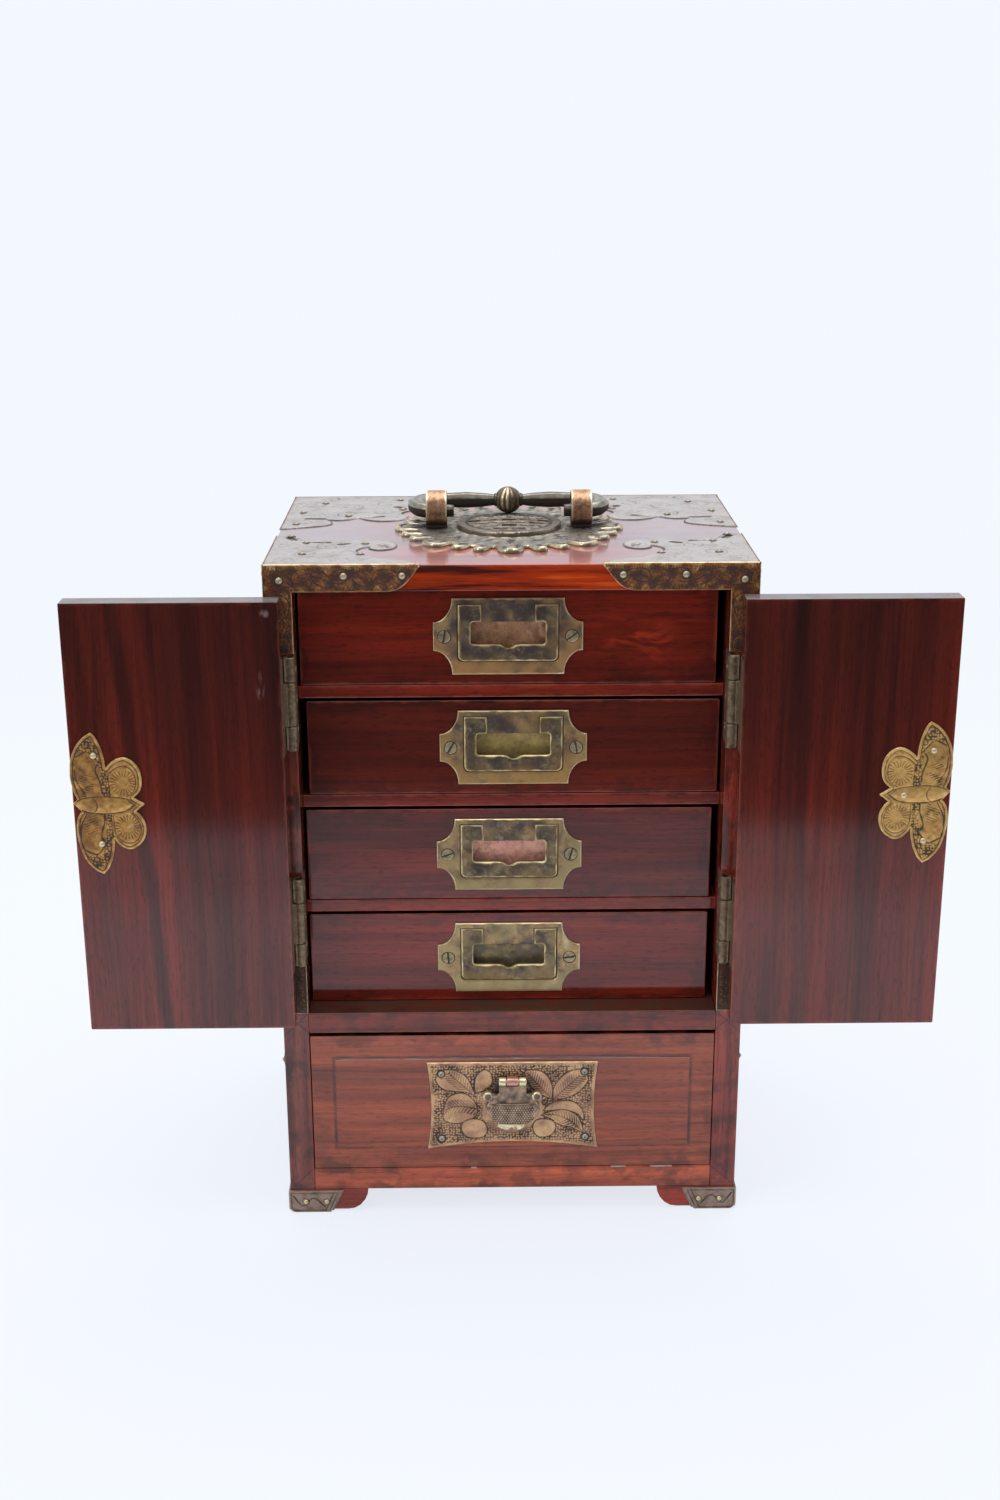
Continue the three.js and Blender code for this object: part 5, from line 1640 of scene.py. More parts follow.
# Butterflies and closing plates, drawn from a door's free edge inward and from the middle height
BUTTERFLY_RIM = (
    [(0.2, 0.2), (1.9, 1.9), (1.1, 4.7), (0.1, 9.7), (0.1, 13.7), (0.9, 19.2), (3.5, 24.8), (6.9, 28.5),
     (10.1, 30.4)],
    [(10.1, 30.4), (11.8, 28.3), (13.4, 24.3), (14.4, 19.7), (14.8, 15.1)],
    [(14.8, 15.1), (16.8, 17.1), (19.7, 18.9), (23.0, 19.3), (26.4, 17.2), (28.5, 13.7), (29.0, 9.2),
     (28.2, 5.2), (26.3, 2.9), (25.1, 1.9)],
    [(25.1, 1.9), (27.5, 0.2), (29.3, -1.0), (27.4, -2.6), (25.7, -4.1)],
    [(25.7, -4.1), (27.4, -6.0), (28.9, -8.9), (29.1, -12.9), (27.6, -16.9), (25.0, -19.4), (22.2, -20.6),
     (19.4, -19.9), (16.9, -17.7), (15.8, -15.8)],
    [(15.8, -15.8), (15.4, -19.4), (14.1, -24.5), (12.0, -29.0), (9.9, -31.3)],
    [(9.9, -31.3), (6.7, -29.4), (3.2, -25.0), (1.2, -18.4), (0.5, -12.9), (1.0, -7.9), (2.1, -4.9),
     (3.4, -3.5)],
    [(3.4, -3.5), (1.8, -1.6), (0.2, 0.2)],
)
# Hind wings: engraved oval, its middle and the reach of its rays
HIND_WINGS = (
    ([(15.8, 3.4), (15.6, 11.2), (17.1, 13.7), (20.0, 15.5), (22.8, 15.7), (25.3, 14.2), (26.6, 10.7),
      (26.3, 6.7), (24.7, 3.9), (22.5, 2.6)], (21.5, 8.6), 5.6),
    ([(23.6, -4.6), (25.6, -6.9), (26.8, -9.4), (27.0, -12.9), (25.4, -16.2), (22.8, -17.7), (19.5, -17.2),
      (17.3, -14.7), (16.3, -12.4), (16.2, -5.4)], (21.8, -10.6), 5.4),
)
# Bands of a fore wing: half width and line
WING_BANDS = (
    (0.28, ((14, 16), (11.5, 18.8), (8, 22.3), (3.2, 20.2))),
    (0.26, ((12.6, 4.2), (12.2, 9), (10.6, 14), (11.6, 16.6))),
    (0.26, ((2.2, 15), (2.6, 10), (5.4, 4.4))),
)
BODY_UP = [
    (26.1, -0.6), (23.4, 1.2), (19.2, 2.2), (14.6, 2.6), (9.4, 2.7), (5.7, 2.3), (2.9, 1.7), (0.9, 0.2),
]
BODY_DOWN = [
    (26.1, -0.6), (23.1, -3.1), (18.9, -4.3), (14.2, -4.6), (9.1, -4.4), (5.4, -3.6), (2.6, -2.1),
    (0.9, 0.2),
]
NECK = [(8.5, 2.2), (9.9, 0.2), (9.7, -2.4), (8.2, -4.0)]
TAIL = [(22.4, 1.2), (25.2, -1.0), (22.4, -3.2)]


def butterfly_design(points, edge):
    """Raised rims, veined hind wings, punched strips and bands on the fore wings and a spindle body."""
    u, v = points.T
    body = np.vstack([spline(BODY_UP), spline(BODY_DOWN)[::-1]])
    in_body, from_body = inside(points, body), line_distance(points, body, closed=True)
    ovals = [spline(oval) for oval, *_ in HIND_WINGS]
    rim_line = groove(edge - 1.25, 0.22) * ~in_body
    lines = np.maximum.reduce([rim_line, groove(from_body, 0.26), engraved(points, ovals, 0.24)])
    height, ground = np.zeros(len(points)), np.zeros(len(points))
    for oval, (_, center, spread) in zip(ovals, HIND_WINGS):
        within = inside(points, oval)
        away = points - center
        reach, turn = np.hypot(*away.T), np.arctan2(away[:, 1], away[:, 0])
        height -= 0.16 * within * smooth(reach, 6.5, 1.5)
        rays = groove(((turn * 11 / math.pi) % 1) - 0.5, 0.2) * (np.abs(reach - spread * 0.72) < 1.5)
        lines = np.maximum(lines, rays * within * 0.8)
    far = np.abs(v)
    for side in (1, -1):
        wing = (u < 15.6) & (v * side > 2.6) & (edge > 1.5) & ~in_body
        inner = wing & (u > 12.6 - 0.25 * np.clip(far - 14, 0, 20)) & (far < 24)
        end = wing & (far > 22.5) & (far < 28.5)
        ground = np.maximum(ground, (inner | end) * 1.0)
        for width, band in WING_BANDS:
            band = spline([(x, side * y) for x, y in band])
            lines = np.maximum(lines, groove(line_distance(points, band), width) * wing)
        hatch = groove(((u * 0.35 + far) % 1.1) - 0.55, 0.17) * (wing & (u < 9.5) & (u > 3.2) & (far < 13))
        lines = np.maximum(lines, hatch * (random_waves(points, 6, 9) > 0.48) * 0.7)
        swell = np.exp(-(((u - 6.5) / 3.4) ** 2)) * np.exp(-(((far - 15) / 7) ** 2)) * wing
        height += 0.18 * swell
    lines = np.maximum(lines, engraved(points, [spline(NECK), TAIL], 0.24) * in_body)
    height += 0.22 * in_body * smooth(from_body, 0, 2.4)
    browned = random_waves(points, 7, 6) * (u < 15.6) * ~in_body
    uneven = random_waves(points, 4, 16) - 0.5
    tone = 0.66 - 0.38 * browned + 0.25 * uneven - 0.58 * lines + 0.15 * smooth(edge, 1.2, 0.5)
    return height - 0.2 * lines, unit(tone), ground


def closing_design(points, edge):
    """Petals in a ring, with small punched rings outside it."""
    turn, reach = np.arctan2(points[:, 1], points[:, 0]), np.hypot(*points.T)
    petals = groove(((turn * 6 / math.pi) % 1) - 0.5, 0.07) * (reach > 6) * (reach < 13.6)
    rings = punched_rings(points, 1.2, 0.4) * (reach > 13.6) * (edge > 0.9)
    lines = np.maximum.reduce([petals, groove(reach - 13.7, 0.25), groove(reach - 5.6, 0.25), rings * 0.7])
    return -0.2 * lines, unit(0.55 + 0.2 * random_waves(points, 8, 7) - 0.7 * lines)


# The free edge of a door, seen from the case's middle, at the butterfly and at the closing plate
BUTTERFLY_EDGE = 180.4
CLOSING_EDGE = 180.0
# Tilt, drop and nails of each butterfly
BUTTERFLIES = {
    "left": (-1.5, -2.6, ((10.4, 20.6), (10.3, -17.9))),
    "right": (0.0, 0.0, ((8.2, 18.0), (19.4, -1.3), (10.1, -21.4))),
}
STAPLE_RADIUS = 2.45
STAPLE_WIRE = 0.75


def closing_plate(side, sign, gold, nail_brass):
    node = f"{side}_closing_plate"
    face, height = low(node)[1], middle(node)[2]
    where = place((sign * CLOSING_EDGE, face, height), -sign * X, Z, Y)
    shape, heads, rings = Shape(), Shape(), []
    shape.relief(where, arc((0, 0), 16, -90, 90, 48), 0.8, design=closing_design, step=0.36)
    center = np.array((sign * (CLOSING_EDGE - 3.0 - 0.8), face + 0.8, height))
    for angle in np.radians(np.linspace(-8, 188, 22)):
        out = np.array((0, math.sin(angle), math.cos(angle)))
        turns = [math.cos(t) * out + math.sin(t) * X for t in np.arange(12) * math.pi / 6]
        rings.append([center + out * STAPLE_RADIUS + STAPLE_WIRE * turn for turn in turns])
    shape.loft(rings, 0.75)
    for v in (6.2, -6.2):
        heads.nail(moved(where, 0.75), 11.3, v, radius=1.2)
    shape.piece(f"{side}_closing_plate_engraved", f"{side}_door", gold, "plate_brass", [node])
    heads.piece(f"{side}_closing_plate_nails", f"{side}_door", nail_brass, "plate_brass")


class CABINET_OT_butterflies(bpy.types.Operator):
    """Builds the butterfly plates inside the doors and the closing plates with their staples outside"""

    bl_idname = "cabinet.butterflies"
    bl_label = "Butterflies and closing plates"

    def execute(self, context):
        golds = {
            "left": brass(
                "left_butterfly_brass", "gold", (0.98, 0.8, 0.62), (0.5, 0.36, 0.25),
                stain=(0.2, 0.085, 0.025), stains=0.75, scale=120.0, punch=820.0, bright=(0.8, 0.55, 0.22),
            ),
            "right": brass(
                "right_butterfly_brass", "gold", (1.25, 1.15, 1.0), (0.85, 0.75, 0.6),
                stain=(0.26, 0.12, 0.035), stains=0.55, scale=110.0, punch=820.0, bright=(0.85, 0.6, 0.26),
            ),
        }
        nails = brass("butterfly_nail_brass", None, (0.75, 0.62, 0.36), stains=0.1, scale=240.0)
        for side, sign in SIDES.items():
            node = f"{side}_butterfly_plate"
            tilt, drop, spots = BUTTERFLIES[side]
            tilt = math.radians(tilt)
            up = (-sign * math.sin(tilt), 0, math.cos(tilt))
            right = (-sign * math.cos(tilt), 0, -math.sin(tilt))
            where = place((sign * BUTTERFLY_EDGE, high(node)[1], 205.0 + drop), right, up, -Y)
            shape, heads = Shape(), Shape()
            shape.relief(where, outline_of(*BUTTERFLY_RIM), 0.8, design=butterfly_design, step=0.3, glow=0.3)
            for u, v in spots:
                heads.nail(moved(where, 0.75), u, v, radius=1.35)
            shape.piece(f"{side}_butterfly_engraved", f"{side}_door", golds[side], "plate_brass", [node])
            heads.piece(f"{side}_butterfly_nails", f"{side}_door", nails, "plate_brass")
            closing_plate(side, sign, golds[side], nails)
        return {"FINISHED"}


# Flush pulls of the inner drawers. Sizes of a bail:
BAIL_HALF, BAIL_TOP, BAIL_BASE, BAIL_CORNER = 20.75, 13.4, -10.6, 2.4
BAIL_ARM, BAIL_TAB, BAIL_TAB_HEIGHT, BAIL_BAR = 5.2, 9.5, 7.1, 7.1
BAIL_PLAY = 0.4
# Each pull's brightness, tone, stain, colour and stain of the tray behind it, and turns of its screws
PULLS = {
    1: ((0.96, 0.94, 0.92), 0.0, (0.42, 0.22, 0.07), (0.42, 0.2, 0.1), (0.85, 0.48, 0.24), (80, 35)),
    2: ((0.9, 0.87, 0.78), 0.06, (0.42, 0.24, 0.08), (0.38, 0.27, 0.08), (0.62, 0.4, 0.09), (60, 100)),
    3: ((0.86, 0.86, 0.85), 0.14, (0.4, 0.3, 0.13), (0.8, 0.38, 0.28), (0.72, 0.32, 0.22), (20, 75)),
    4: ((0.98, 1.0, 0.96), 0.2, (0.42, 0.32, 0.15), (0.17, 0.13, 0.075), (0.55, 0.38, 0.12), (95, 10)),
}


def pull_outline():
    corner = np.array((7.75, 10.25))
    spots = ((31, 16.25, 270, 180), (-31, 16.25, 360, 270), (-31, -16.25, 90, 0), (31, -16.25, 180, 90))
    return np.vstack([arc((0, 0), 1, start, end, 14) * corner + (u, v) for u, v, start, end in spots])


def bail_rim(growth=0.0):
    """The outer outline of a bail, wider all round by the growth."""
    half, top, base, corner = BAIL_HALF + growth, BAIL_TOP + growth, BAIL_BASE - growth, BAIL_CORNER
    return np.vstack([
        [(half, top), (-half, top)], arc((corner - half, base + corner), corner, 180, 270, 8),
        arc((half - corner, base + corner), corner, 270, 360, 8),
    ])


def pull_opening():
    """The opening of the plate, with the plate's tongue between the tabs of the bail."""
    tongue = BAIL_HALF - BAIL_TAB - BAIL_PLAY
    top, gap = BAIL_TOP + BAIL_PLAY, BAIL_TOP - BAIL_TAB_HEIGHT
    rim = bail_rim(BAIL_PLAY)
    return np.vstack([[(tongue, gap), (tongue, top)], rim[:1], rim[:0:-1], [(-tongue, top), (-tongue, gap)]])


def bail_outline():
    gap_top, gap_base = BAIL_TOP - BAIL_TAB_HEIGHT, BAIL_BASE + BAIL_BAR
    inner, slot, soft = BAIL_HALF - BAIL_ARM, BAIL_HALF - BAIL_TAB, 1.3
    notch = ((4.8, 0), (3.0, -0.3), (1.3, -1.3), (0, -1.7), (-1.3, -1.3), (-3.0, -0.3), (-4.8, 0))
    notch = spline([(u, gap_base + v) for u, v in notch], 3)
    opening = np.vstack([
        [(-slot, BAIL_TOP), (-slot, gap_top)], arc((soft - inner, gap_top - soft), soft, 90, 180, 5),
        arc((soft - inner, gap_base + soft), soft, 180, 270, 5), notch[::-1],
        arc((inner - soft, gap_base + soft), soft, 270, 360, 5),
        arc((inner - soft, gap_top - soft), soft, 0, 90, 5),
        [(slot, gap_top), (slot, BAIL_TOP)],
    ])
    rim = bail_rim()
    return np.vstack([rim[:1], opening[::-1], rim[1:]])


def worn_design(seed, size, level, spread):
    """Plain metal with soft uneven wear."""

    def design(points, edge):
        uneven = random_waves(points, size, seed)
        return 0.05 * uneven, unit(level + spread * (uneven - 0.35))

    return design


def pull_wear(seed, reach, lift):
    """Dark slate in the middle and golden brown towards the ends and the lower edge."""

    def design(points, edge):
        uneven = random_waves(points, 14, seed)
        ends, low_down = smooth(np.abs(points[:, 0]), reach * 0.5, reach), smooth(-points[:, 1], 4, 14)
        tone = 0.2 + lift + 0.3 * (uneven - 0.4) + 0.2 * ends + 0.18 * low_down
        stained = 0.9 * low_down + 0.7 * ends * random_waves(points, 10, seed + 3)
        return 0.05 * uneven, unit(tone), unit(stained)

    return design


def cup(shape, where, depth, wall):
    """An open tray behind the opening of a pull."""
    origin, right, up, out = where
    rim = even_ring(bail_rim(BAIL_PLAY), 1.5)
    away = rim - rim.mean(axis=0)
    rings = []
    for growth, back in (
        (wall, depth + wall), (wall, 0), (0, 0), (0, depth - 1.2), (-0.35, depth - 0.35), (-1.2, depth),
    ):
        grown = rim + away / np.linalg.norm(away, axis=1)[:, None] * growth
        rings.append(origin + grown[:, :1] * right + grown[:, 1:] * up - out * back)
    shape.loft(rings)


class CABINET_OT_pulls(bpy.types.Operator):
    """Builds the flush pulls: plate, cup, two slotted screws and a swinging bail on every inner drawer"""

    bl_idname = "cabinet.pulls"
    bl_label = "Flush pulls"

    def execute(self, context):
        screw_brass = brass(
            "screw_brass", None, (0.42, 0.34, 0.19), (0.24, 0.19, 0.11), stains=0.4, scale=260.0,
            bright=(0.66, 0.56, 0.34),
        )
        for row, (level, lift, stain, cup_color, cup_stain, turns) in PULLS.items():
            node, body, name = f"drawer_{row}_pull_plate", f"drawer_{row}", f"pull_{row}"
            x, _, z = middle(node)
            face = low(f"drawer_{row}_front")[1]
            where = on_front(face, x, z)
            plate, screws, bail, tray = Shape(), Shape(), Shape(), Shape()
            plate_brass = brass(
                f"{name}_plate_brass", "olive", np.array((1.6, 1.4, 1.0)) * level,
                np.array((0.44, 0.42, 0.58)) * level, stain=scaled(stain, level), stains=0.8, scale=60.0,
                bright=(0.85, 0.72, 0.42), stained=True,
            )
            bail_brass = brass(
                f"{name}_bail_brass", "olive", np.array((1.0, 0.95, 0.8)) * level,
                np.array((0.3, 0.3, 0.42)) * level, stain=scaled((0.24, 0.14, 0.05), level), stains=0.7,
                scale=60.0, bright=(0.9, 0.74, 0.38), stained=True,
            )
            cup_brass = brass(
                f"{name}_cup_brass", None, cup_color, scaled(cup_color, 0.6), stain=cup_stain, stains=0.5,
                bright=scaled(cup_color, 1.4), scale=170.0, shine=0.3,
            )
            wear = pull_wear(20 + row, 30, lift)
            plate.relief(where, pull_outline(), 1.0, [pull_opening()], wear, step=0.45, glow=0.7, hole_glow=0)
            for side, turn in zip((-1, 1), turns):
                head = moved(on_front(face, x + side * 26.5, z), 0.9)
                screws.turned(head, [(3.05, -0.3), (3.05, 0.12), (2.5, 0.16)], [0.0, 0.0, 0.0], steps=36)
                slot = slot_design(turn, 0.3)
                screws.relief(head, circle((0, 0), 2.6, 40), 0.35, design=slot, step=0.28, rim=0.25)
            lifted, wear = on_front(face + 1.0, x, z), pull_wear(60 + row, 24, lift * 0.7)
            bail.relief(lifted, bail_outline(), 2.0, design=wear, step=0.42, rim=0.35, glow=0.95)
            cup(tray, where, 4.2, 0.8)
            plate.piece(f"{body}_pull_face", body, plate_brass, "pull_brass", [node])
            screws.piece(f"{body}_pull_screws", body, screw_brass, "pull_brass")
            tray.piece(f"{body}_pull_cup", body, cup_brass, "pull_brass")
            bail.piece(f"{body}_bail", f"pull_bail_{row}", bail_brass, "pull_brass", [f"{body}_pull_bail"])
        return {"FINISHED"}


# Plate and fish-shaped pull of the base drawer, drawn from the middle of the plate
DROP_HALF = 37.7
DROP_RISE = 21.35
# Leaves of the plate: rim, midrib and number of veins
DROP_LEAVES = (
    ([(-16.3, 6.4), (-16.8, 10.4), (-16.3, 13.9), (-14.7, 16.5), (-12.5, 17.8), (-10.3, 17), (-9, 14.8),
      (-8.7, 11.7), (-10.3, 9.2), (-13.1, 7.3)], [], 0),
    ([(17.3, 3), (17.7, 7.3), (17, 11.2), (15.4, 14.7), (12.7, 16.9), (9.5, 17.5), (5.6, 17), (6.2, 12.9),
      (8.9, 8.5), (12.7, 5.4)], [(6.4, 16.2), (11.6, 9.8), (16.9, 3.7)], 12),
    ([(-30.9, -4.9), (-30.1, -0.2), (-28.7, 3.8), (-26.3, 5.7), (-23, 6.5), (-19.7, 5.4), (-17.2, 2.6),
      (-15.7, -0.5), (-15.8, -4), (-18, -6.5), (-20.8, -7.8), (-24.1, -8.7), (-27.4, -8.5), (-30.1, -7)],
     [(-30.5, -4.5), (-27.9, -1), (-21.9, -0.2), (-15.9, -1.6)], 11),
    ([(-29.6, 18), (-26.8, 18), (-23.5, 16.9), (-20.8, 14.8), (-18.8, 11.7), (-17.4, 7.9), (-16.3, 4),
      (-17.7, 5.7), (-21.3, 6.9), (-25.7, 7.2), (-29.6, 8), (-32.3, 9.8), (-33.7, 12.4), (-33.2, 14.8)],
     [(-28.2, 16.4), (-24.1, 12.3), (-19.7, 7.9), (-16.3, 3.5)], 13),
    ([(18.1, 2.9), (18, 7.8), (19.6, 11.4), (22.1, 14.5), (24.8, 16.5), (27.6, 17.5), (30.3, 17.3),
      (32.8, 15.1), (33.4, 12.3), (31.7, 9.2), (29, 6.4), (25.4, 4.2), (22.1, 3.2)],
     [(29.7, 14.6), (24.3, 9.2), (18.4, 3.3)], 12),
    ([(13.7, -2.8), (15.5, -0.2), (18.2, 1.5), (22.1, 2.3), (25.9, 2), (29, 0.4), (30.9, -2.4),
      (31.6, -5.8), (31.3, -7.7), (29.2, -4.7), (25.9, -3.1), (22.1, -2.2), (18.2, -2.5)], [], 0),
    ([(13, -4.9), (14.9, -3.8), (18.8, -2.6), (22.6, -2.2), (25.9, -3.3), (29, -5.8), (30.6, -9.3),
      (31.3, -13.6), (28.1, -12.2), (25.4, -10.8), (22.1, -10.2), (19.3, -8.6), (17.1, -6.8)],
     [(14.4, -4.6), (19.9, -5), (25.4, -7.7), (31.2, -13.3)], 14),
    ([(-22.7, -10.2), (-21.6, -7.8), (-18.8, -6.6), (-15.8, -6.5), (-13.1, -7.7), (-11.5, -10.2),
      (-11.4, -13.3), (-13.6, -15.8), (-18, -16.1), (-21, -15), (-22.4, -12.7)], [], 0),
    ([(8.9, -10.2), (10, -7.8), (12.2, -6.8), (14.9, -6.8), (17.7, -7.7), (19.1, -10.2), (18.8, -12.8),
      (17.1, -14.9), (14.9, -15.8), (11.6, -15.7), (9.5, -13.3)], [], 0),
)
DROP_NAILS = ((-31.4, 15.9), (31.7, 16.6), (-31.5, -16.2), (32.2, -15.8))


def drop_outline():
    share = np.linspace(0, 1, 15)
    bow = 4 * share * (1 - share)
    left = np.column_stack([-DROP_HALF + 1.7 * bow, DROP_RISE - share * 2 * DROP_RISE])
    lower = np.column_stack([-DROP_HALF + share * 2 * DROP_HALF, -DROP_RISE + 3.4 * bow])
    right = np.column_stack([DROP_HALF - 1.7 * bow, -DROP_RISE + share * 2 * DROP_RISE])
    return np.vstack([left[:-1], lower[:-1], right])


def drop_design(points, edge):
    """Leaves and lobes on a ground of punched rings, round a smooth middle, with the pull's painted shadow.
    """
    u, v = points.T
    lines, covered = leaves_over(points, DROP_LEAVES, 0.27)
    calm = smooth(np.hypot(u * 0.8, v + 2), 9.5, 12.5) * smooth(edge, 0.9, 1.6)
    lines = np.maximum(lines, groove(np.hypot(u - 14.2, v - 1.6) - 1.1, 0.35))
    for x, y in DROP_NAILS:
        lines = np.maximum(lines, groove(np.hypot(u - x, v - y) - 1.7, 0.4) * 0.9)
    # Painted shadow of the hanging pull on the plate round its knuckle.
    near_fish = np.hypot(np.clip(np.abs(u) - 6, 0, 40), np.clip(np.abs(v - 7) - 5, 0, 40))
    soot = np.exp(-((near_fish / 4.5) ** 2))
    uneven = random_waves(points, 13, 14) - 0.5
    tone = 0.5 + 0.12 * covered * (1 - soot) + 0.35 * uneven - 0.5 * lines - 0.3 * soot
    return -0.2 * lines + 0.08 * covered, unit(tone), ~covered * calm


FISH_BODY = (
    [(10.6, 5.1), (11.9, 3.0), (11.4, 0.2), (9.2, -2.6), (6.4, -4.5), (0, -5.0)],
    [(0, -5.0), (-6.4, -4.5), (-9.2, -2.6), (-11.4, 0.2), (-11.9, 3.0), (-10.6, 5.1)],
    [(-10.6, 5.1), (10.6, 5.1)],
)
FISH_TAIL = (
    [(-7.0, 1.4), (-4.6, 0.2), (-2.2, -0.3), (-0.6, 1.0)],
    [(-0.6, 1.0), (1.4, -0.4), (3.6, -0.1), (5.6, 1.4)],
    [(5.6, 1.4), (3.6, 4.4), (-5.0, 4.4), (-7.0, 1.4)],
)
FISH_NECK = (
    (2.9, 0.2), (2.9, -2.4), (-2.9, -2.4), (-2.9, 0.2), (-6.0, 0.2), (-6.0, -6.0), (-8.0, -7.4),
    (-10.2, -8.8), (-10.6, -10.9), (10.6, -10.9), (10.2, -8.8), (8.0, -7.4), (6.0, -6.0), (6.0, 0.2),
)


def fish_body_design(points, edge):
    """A swelling body with rows of scales and a groove below its top, darkened as painted shadow of the neck.
    """
    u, v = points.T
    swell = np.sqrt(unit(1 - (u / 12.6) ** 2 - ((v - 0.2) / 7.2) ** 2))
    # A groove below the top edge, darkened as painted shadow under the neck.
    ledge = groove(v - 4.6, 0.3)
    row = np.floor(v / 1.05)
    slant = u + 0.5 * (row % 2) * 1.15
    dots = groove(slant % 1.15 - 0.575, 0.3) * groove(v % 1.05 - 0.52, 0.33) * (v < 3.9) * (np.abs(u) < 9.8)
    cheek, brow = smooth(np.abs(u), 8.5, 10.8), smooth(v, 3.6, 4.2)
    tone = 0.1 + 0.4 * cheek + 0.25 * brow + 0.08 * swell - 0.2 * ledge + 0.7 * dots
    return 2.0 * swell - 0.35 * ledge + 0.12 * dots, unit(tone + 0.2 * (random_waves(points, 5, 8) - 0.5))


def eye_design(points, edge):
    """A sunk eye, darker in its dish, with a painted highlight on its upper left."""
    dish = smooth(np.hypot(*points.T), 1.6, 1.1)
    left_side = smooth(-points[:, 0] + points[:, 1], -1.5, 1.2)
    return -0.35 * dish, unit(0.55 + 0.4 * left_side - (0.35 + 0.3 * left_side) * dish)


# The pin of the pull below the plate's top and before the drawer's face
PIN_DROP = 8.2
PIN_OUT = 3.1


def build_fish(fish, pin_y, pin_z):
    """The pull's knuckles, pin, neck, arms with eyes, scaled body and tail."""
    for start in (-6.0, 2.9):
        knuckle = place((start, pin_y, pin_z), Y, Z)
        fish.turned(knuckle, [(1.65, 0), (1.9, 0.25), (1.9, 2.85), (1.65, 3.1)], 0.95, steps=28)
    fish.turned(place((-6.1, pin_y, pin_z), Y, Z), [(0.8, 0), (0.8, 12.2)], 0.9, steps=16)
    back = pin_y + 0.7
    sheet, wear = on_front(back, 0, pin_z), worn_design(5, 5, 0.28, 0.4)
    fish.relief(sheet, FISH_NECK, 1.4, design=wear, step=0.36, rim=0.35, glow=0.3)
    for x in (-10.9, 10.7):
        arm = [(x * 0.5, -6.4), (x * 0.95, -5.8), (x * 0.95, -8.0), (x * 0.5, -8.8)]
        arm = arm if x < 0 else arm[::-1]
        fish.relief(sheet, arm, 1.2, design=worn_design(8, 5, 0.3, 0.3), step=0.4, glow=0)
        spot = on_front(back, x, pin_z - 6.8)
        fish.relief(spot, circle((0, 0), 2.2, 32), 2.4, design=eye_design, step=0.3, rim=0.3, glow=0)
    body, tail = outline_of(*FISH_BODY), outline_of(*FISH_TAIL)
    body_place, tail_place = on_front(back, 0, pin_z - 15.6), on_front(back, 0, pin_z - 23.4)
    fish.relief(body_place, body, 1.2, design=fish_body_design, step=0.25, rim=0.4, glow=0)
    fish.relief(tail_place, tail, 1.5, design=worn_design(3, 4, 0.8, 0.5), step=0.35, rim=0.35)


class CABINET_OT_base_pull(bpy.types.Operator):
    """Builds the engraved plate of the base drawer and its hanging fish-shaped pull"""

    bl_idname = "cabinet.base_pull"
    bl_label = "Base drawer plate and pull"

    def execute(self, context):
        plate_brass = brass(
            "drop_plate_brass", "gold", (1.14, 1.1, 1.68), (0.6, 0.52, 1.0), stain=(0.3, 0.14, 0.09),
            stains=0.5, scale=65.0, punch=830.0, bright=(0.82, 0.64, 0.36),
        )
        nail_brass = brass(
            "drop_nail_brass", None, (0.5, 0.46, 0.37), stains=0.2, scale=240.0, bright=(0.8, 0.77, 0.66),
        )
        fish_brass = brass(
            "fish_brass", "olive", (1.75, 1.6, 1.7), (0.95, 0.9, 1.0), stains=0.3, scale=190.0,
            bright=(0.92, 0.82, 0.5), shine=0.7,
        )
        copper = brass(
            "knuckle_copper", None, (0.6, 0.3, 0.22), stains=0.1, bright=(0.8, 0.5, 0.4), scale=150.0,
        )
        top, back = high("base_drawer_plate")[2], low("base_drawer_front")[1]
        pin_y, pin_z = back - PIN_OUT, top - PIN_DROP
        where = on_front(back, 0, top - DROP_RISE)
        plate, nails, eye, fish = Shape(), Shape(), Shape(), Shape()
        plate.relief(where, drop_outline(), 0.9, design=drop_design, step=0.29, glow=0.35)
        for u, v in DROP_NAILS:
            nails.nail(moved(where, 0.85), u, v, tone=0.62, radius=1.35, middle=0.12)
        tube = place((-2.6, pin_y, pin_z), Y, Z)
        eye.turned(tube, [(1.7, 0), (1.9, 0.2), (1.9, 5.0), (1.7, 5.2)], 0.75, steps=28)
        eye.block((-2.5, pin_y, pin_z - 0.4), (2.5, back - 0.5, pin_z + 1.7), 0.15, 0.4)
        build_fish(fish, pin_y, pin_z)
        engraved_plate = "base_drawer_plate_engraved"
        plate.piece(engraved_plate, "base_drawer", plate_brass, "plate_brass", ["base_drawer_plate"])
        nails.piece("base_drawer_plate_nails", "base_drawer", nail_brass, "plate_brass")
        eye.piece("base_drawer_eye", "base_drawer", copper, "plate_brass")
        fish.piece("fish_pull", "drop_pull", fish_brass, "plate_brass", ["base_drawer_drop_pull"])
        return {"FINISHED"}


# Caps on the feet
CAP_LEAVES = [(2, 8.5), (6, 3.5), (11, 7.5), (16, 3.0)]


def cap_face():
    return np.vstack([[(0, 10.9)], arc((3, 3.2), 3, 180, 270, 6), [(18.7, 0.2), (23.4, 10.9)]])


def cap_design(points, edge):
    """A wavy line inside a slanting border."""
    slant = np.abs((points[:, 0] - 19 - points[:, 1] * 0.43) + 3.2)
    leaves = engraved(points, [spline(CAP_LEAVES)], 0.3) * (edge > 1.2)
    lines = np.maximum.reduce([groove(slant, 0.25), groove(edge - 1.0, 0.22) * 0.8, leaves])
    return -0.15 * lines, unit(0.4 + 0.3 * random_waves(points, 9, 11) - 0.6 * lines)


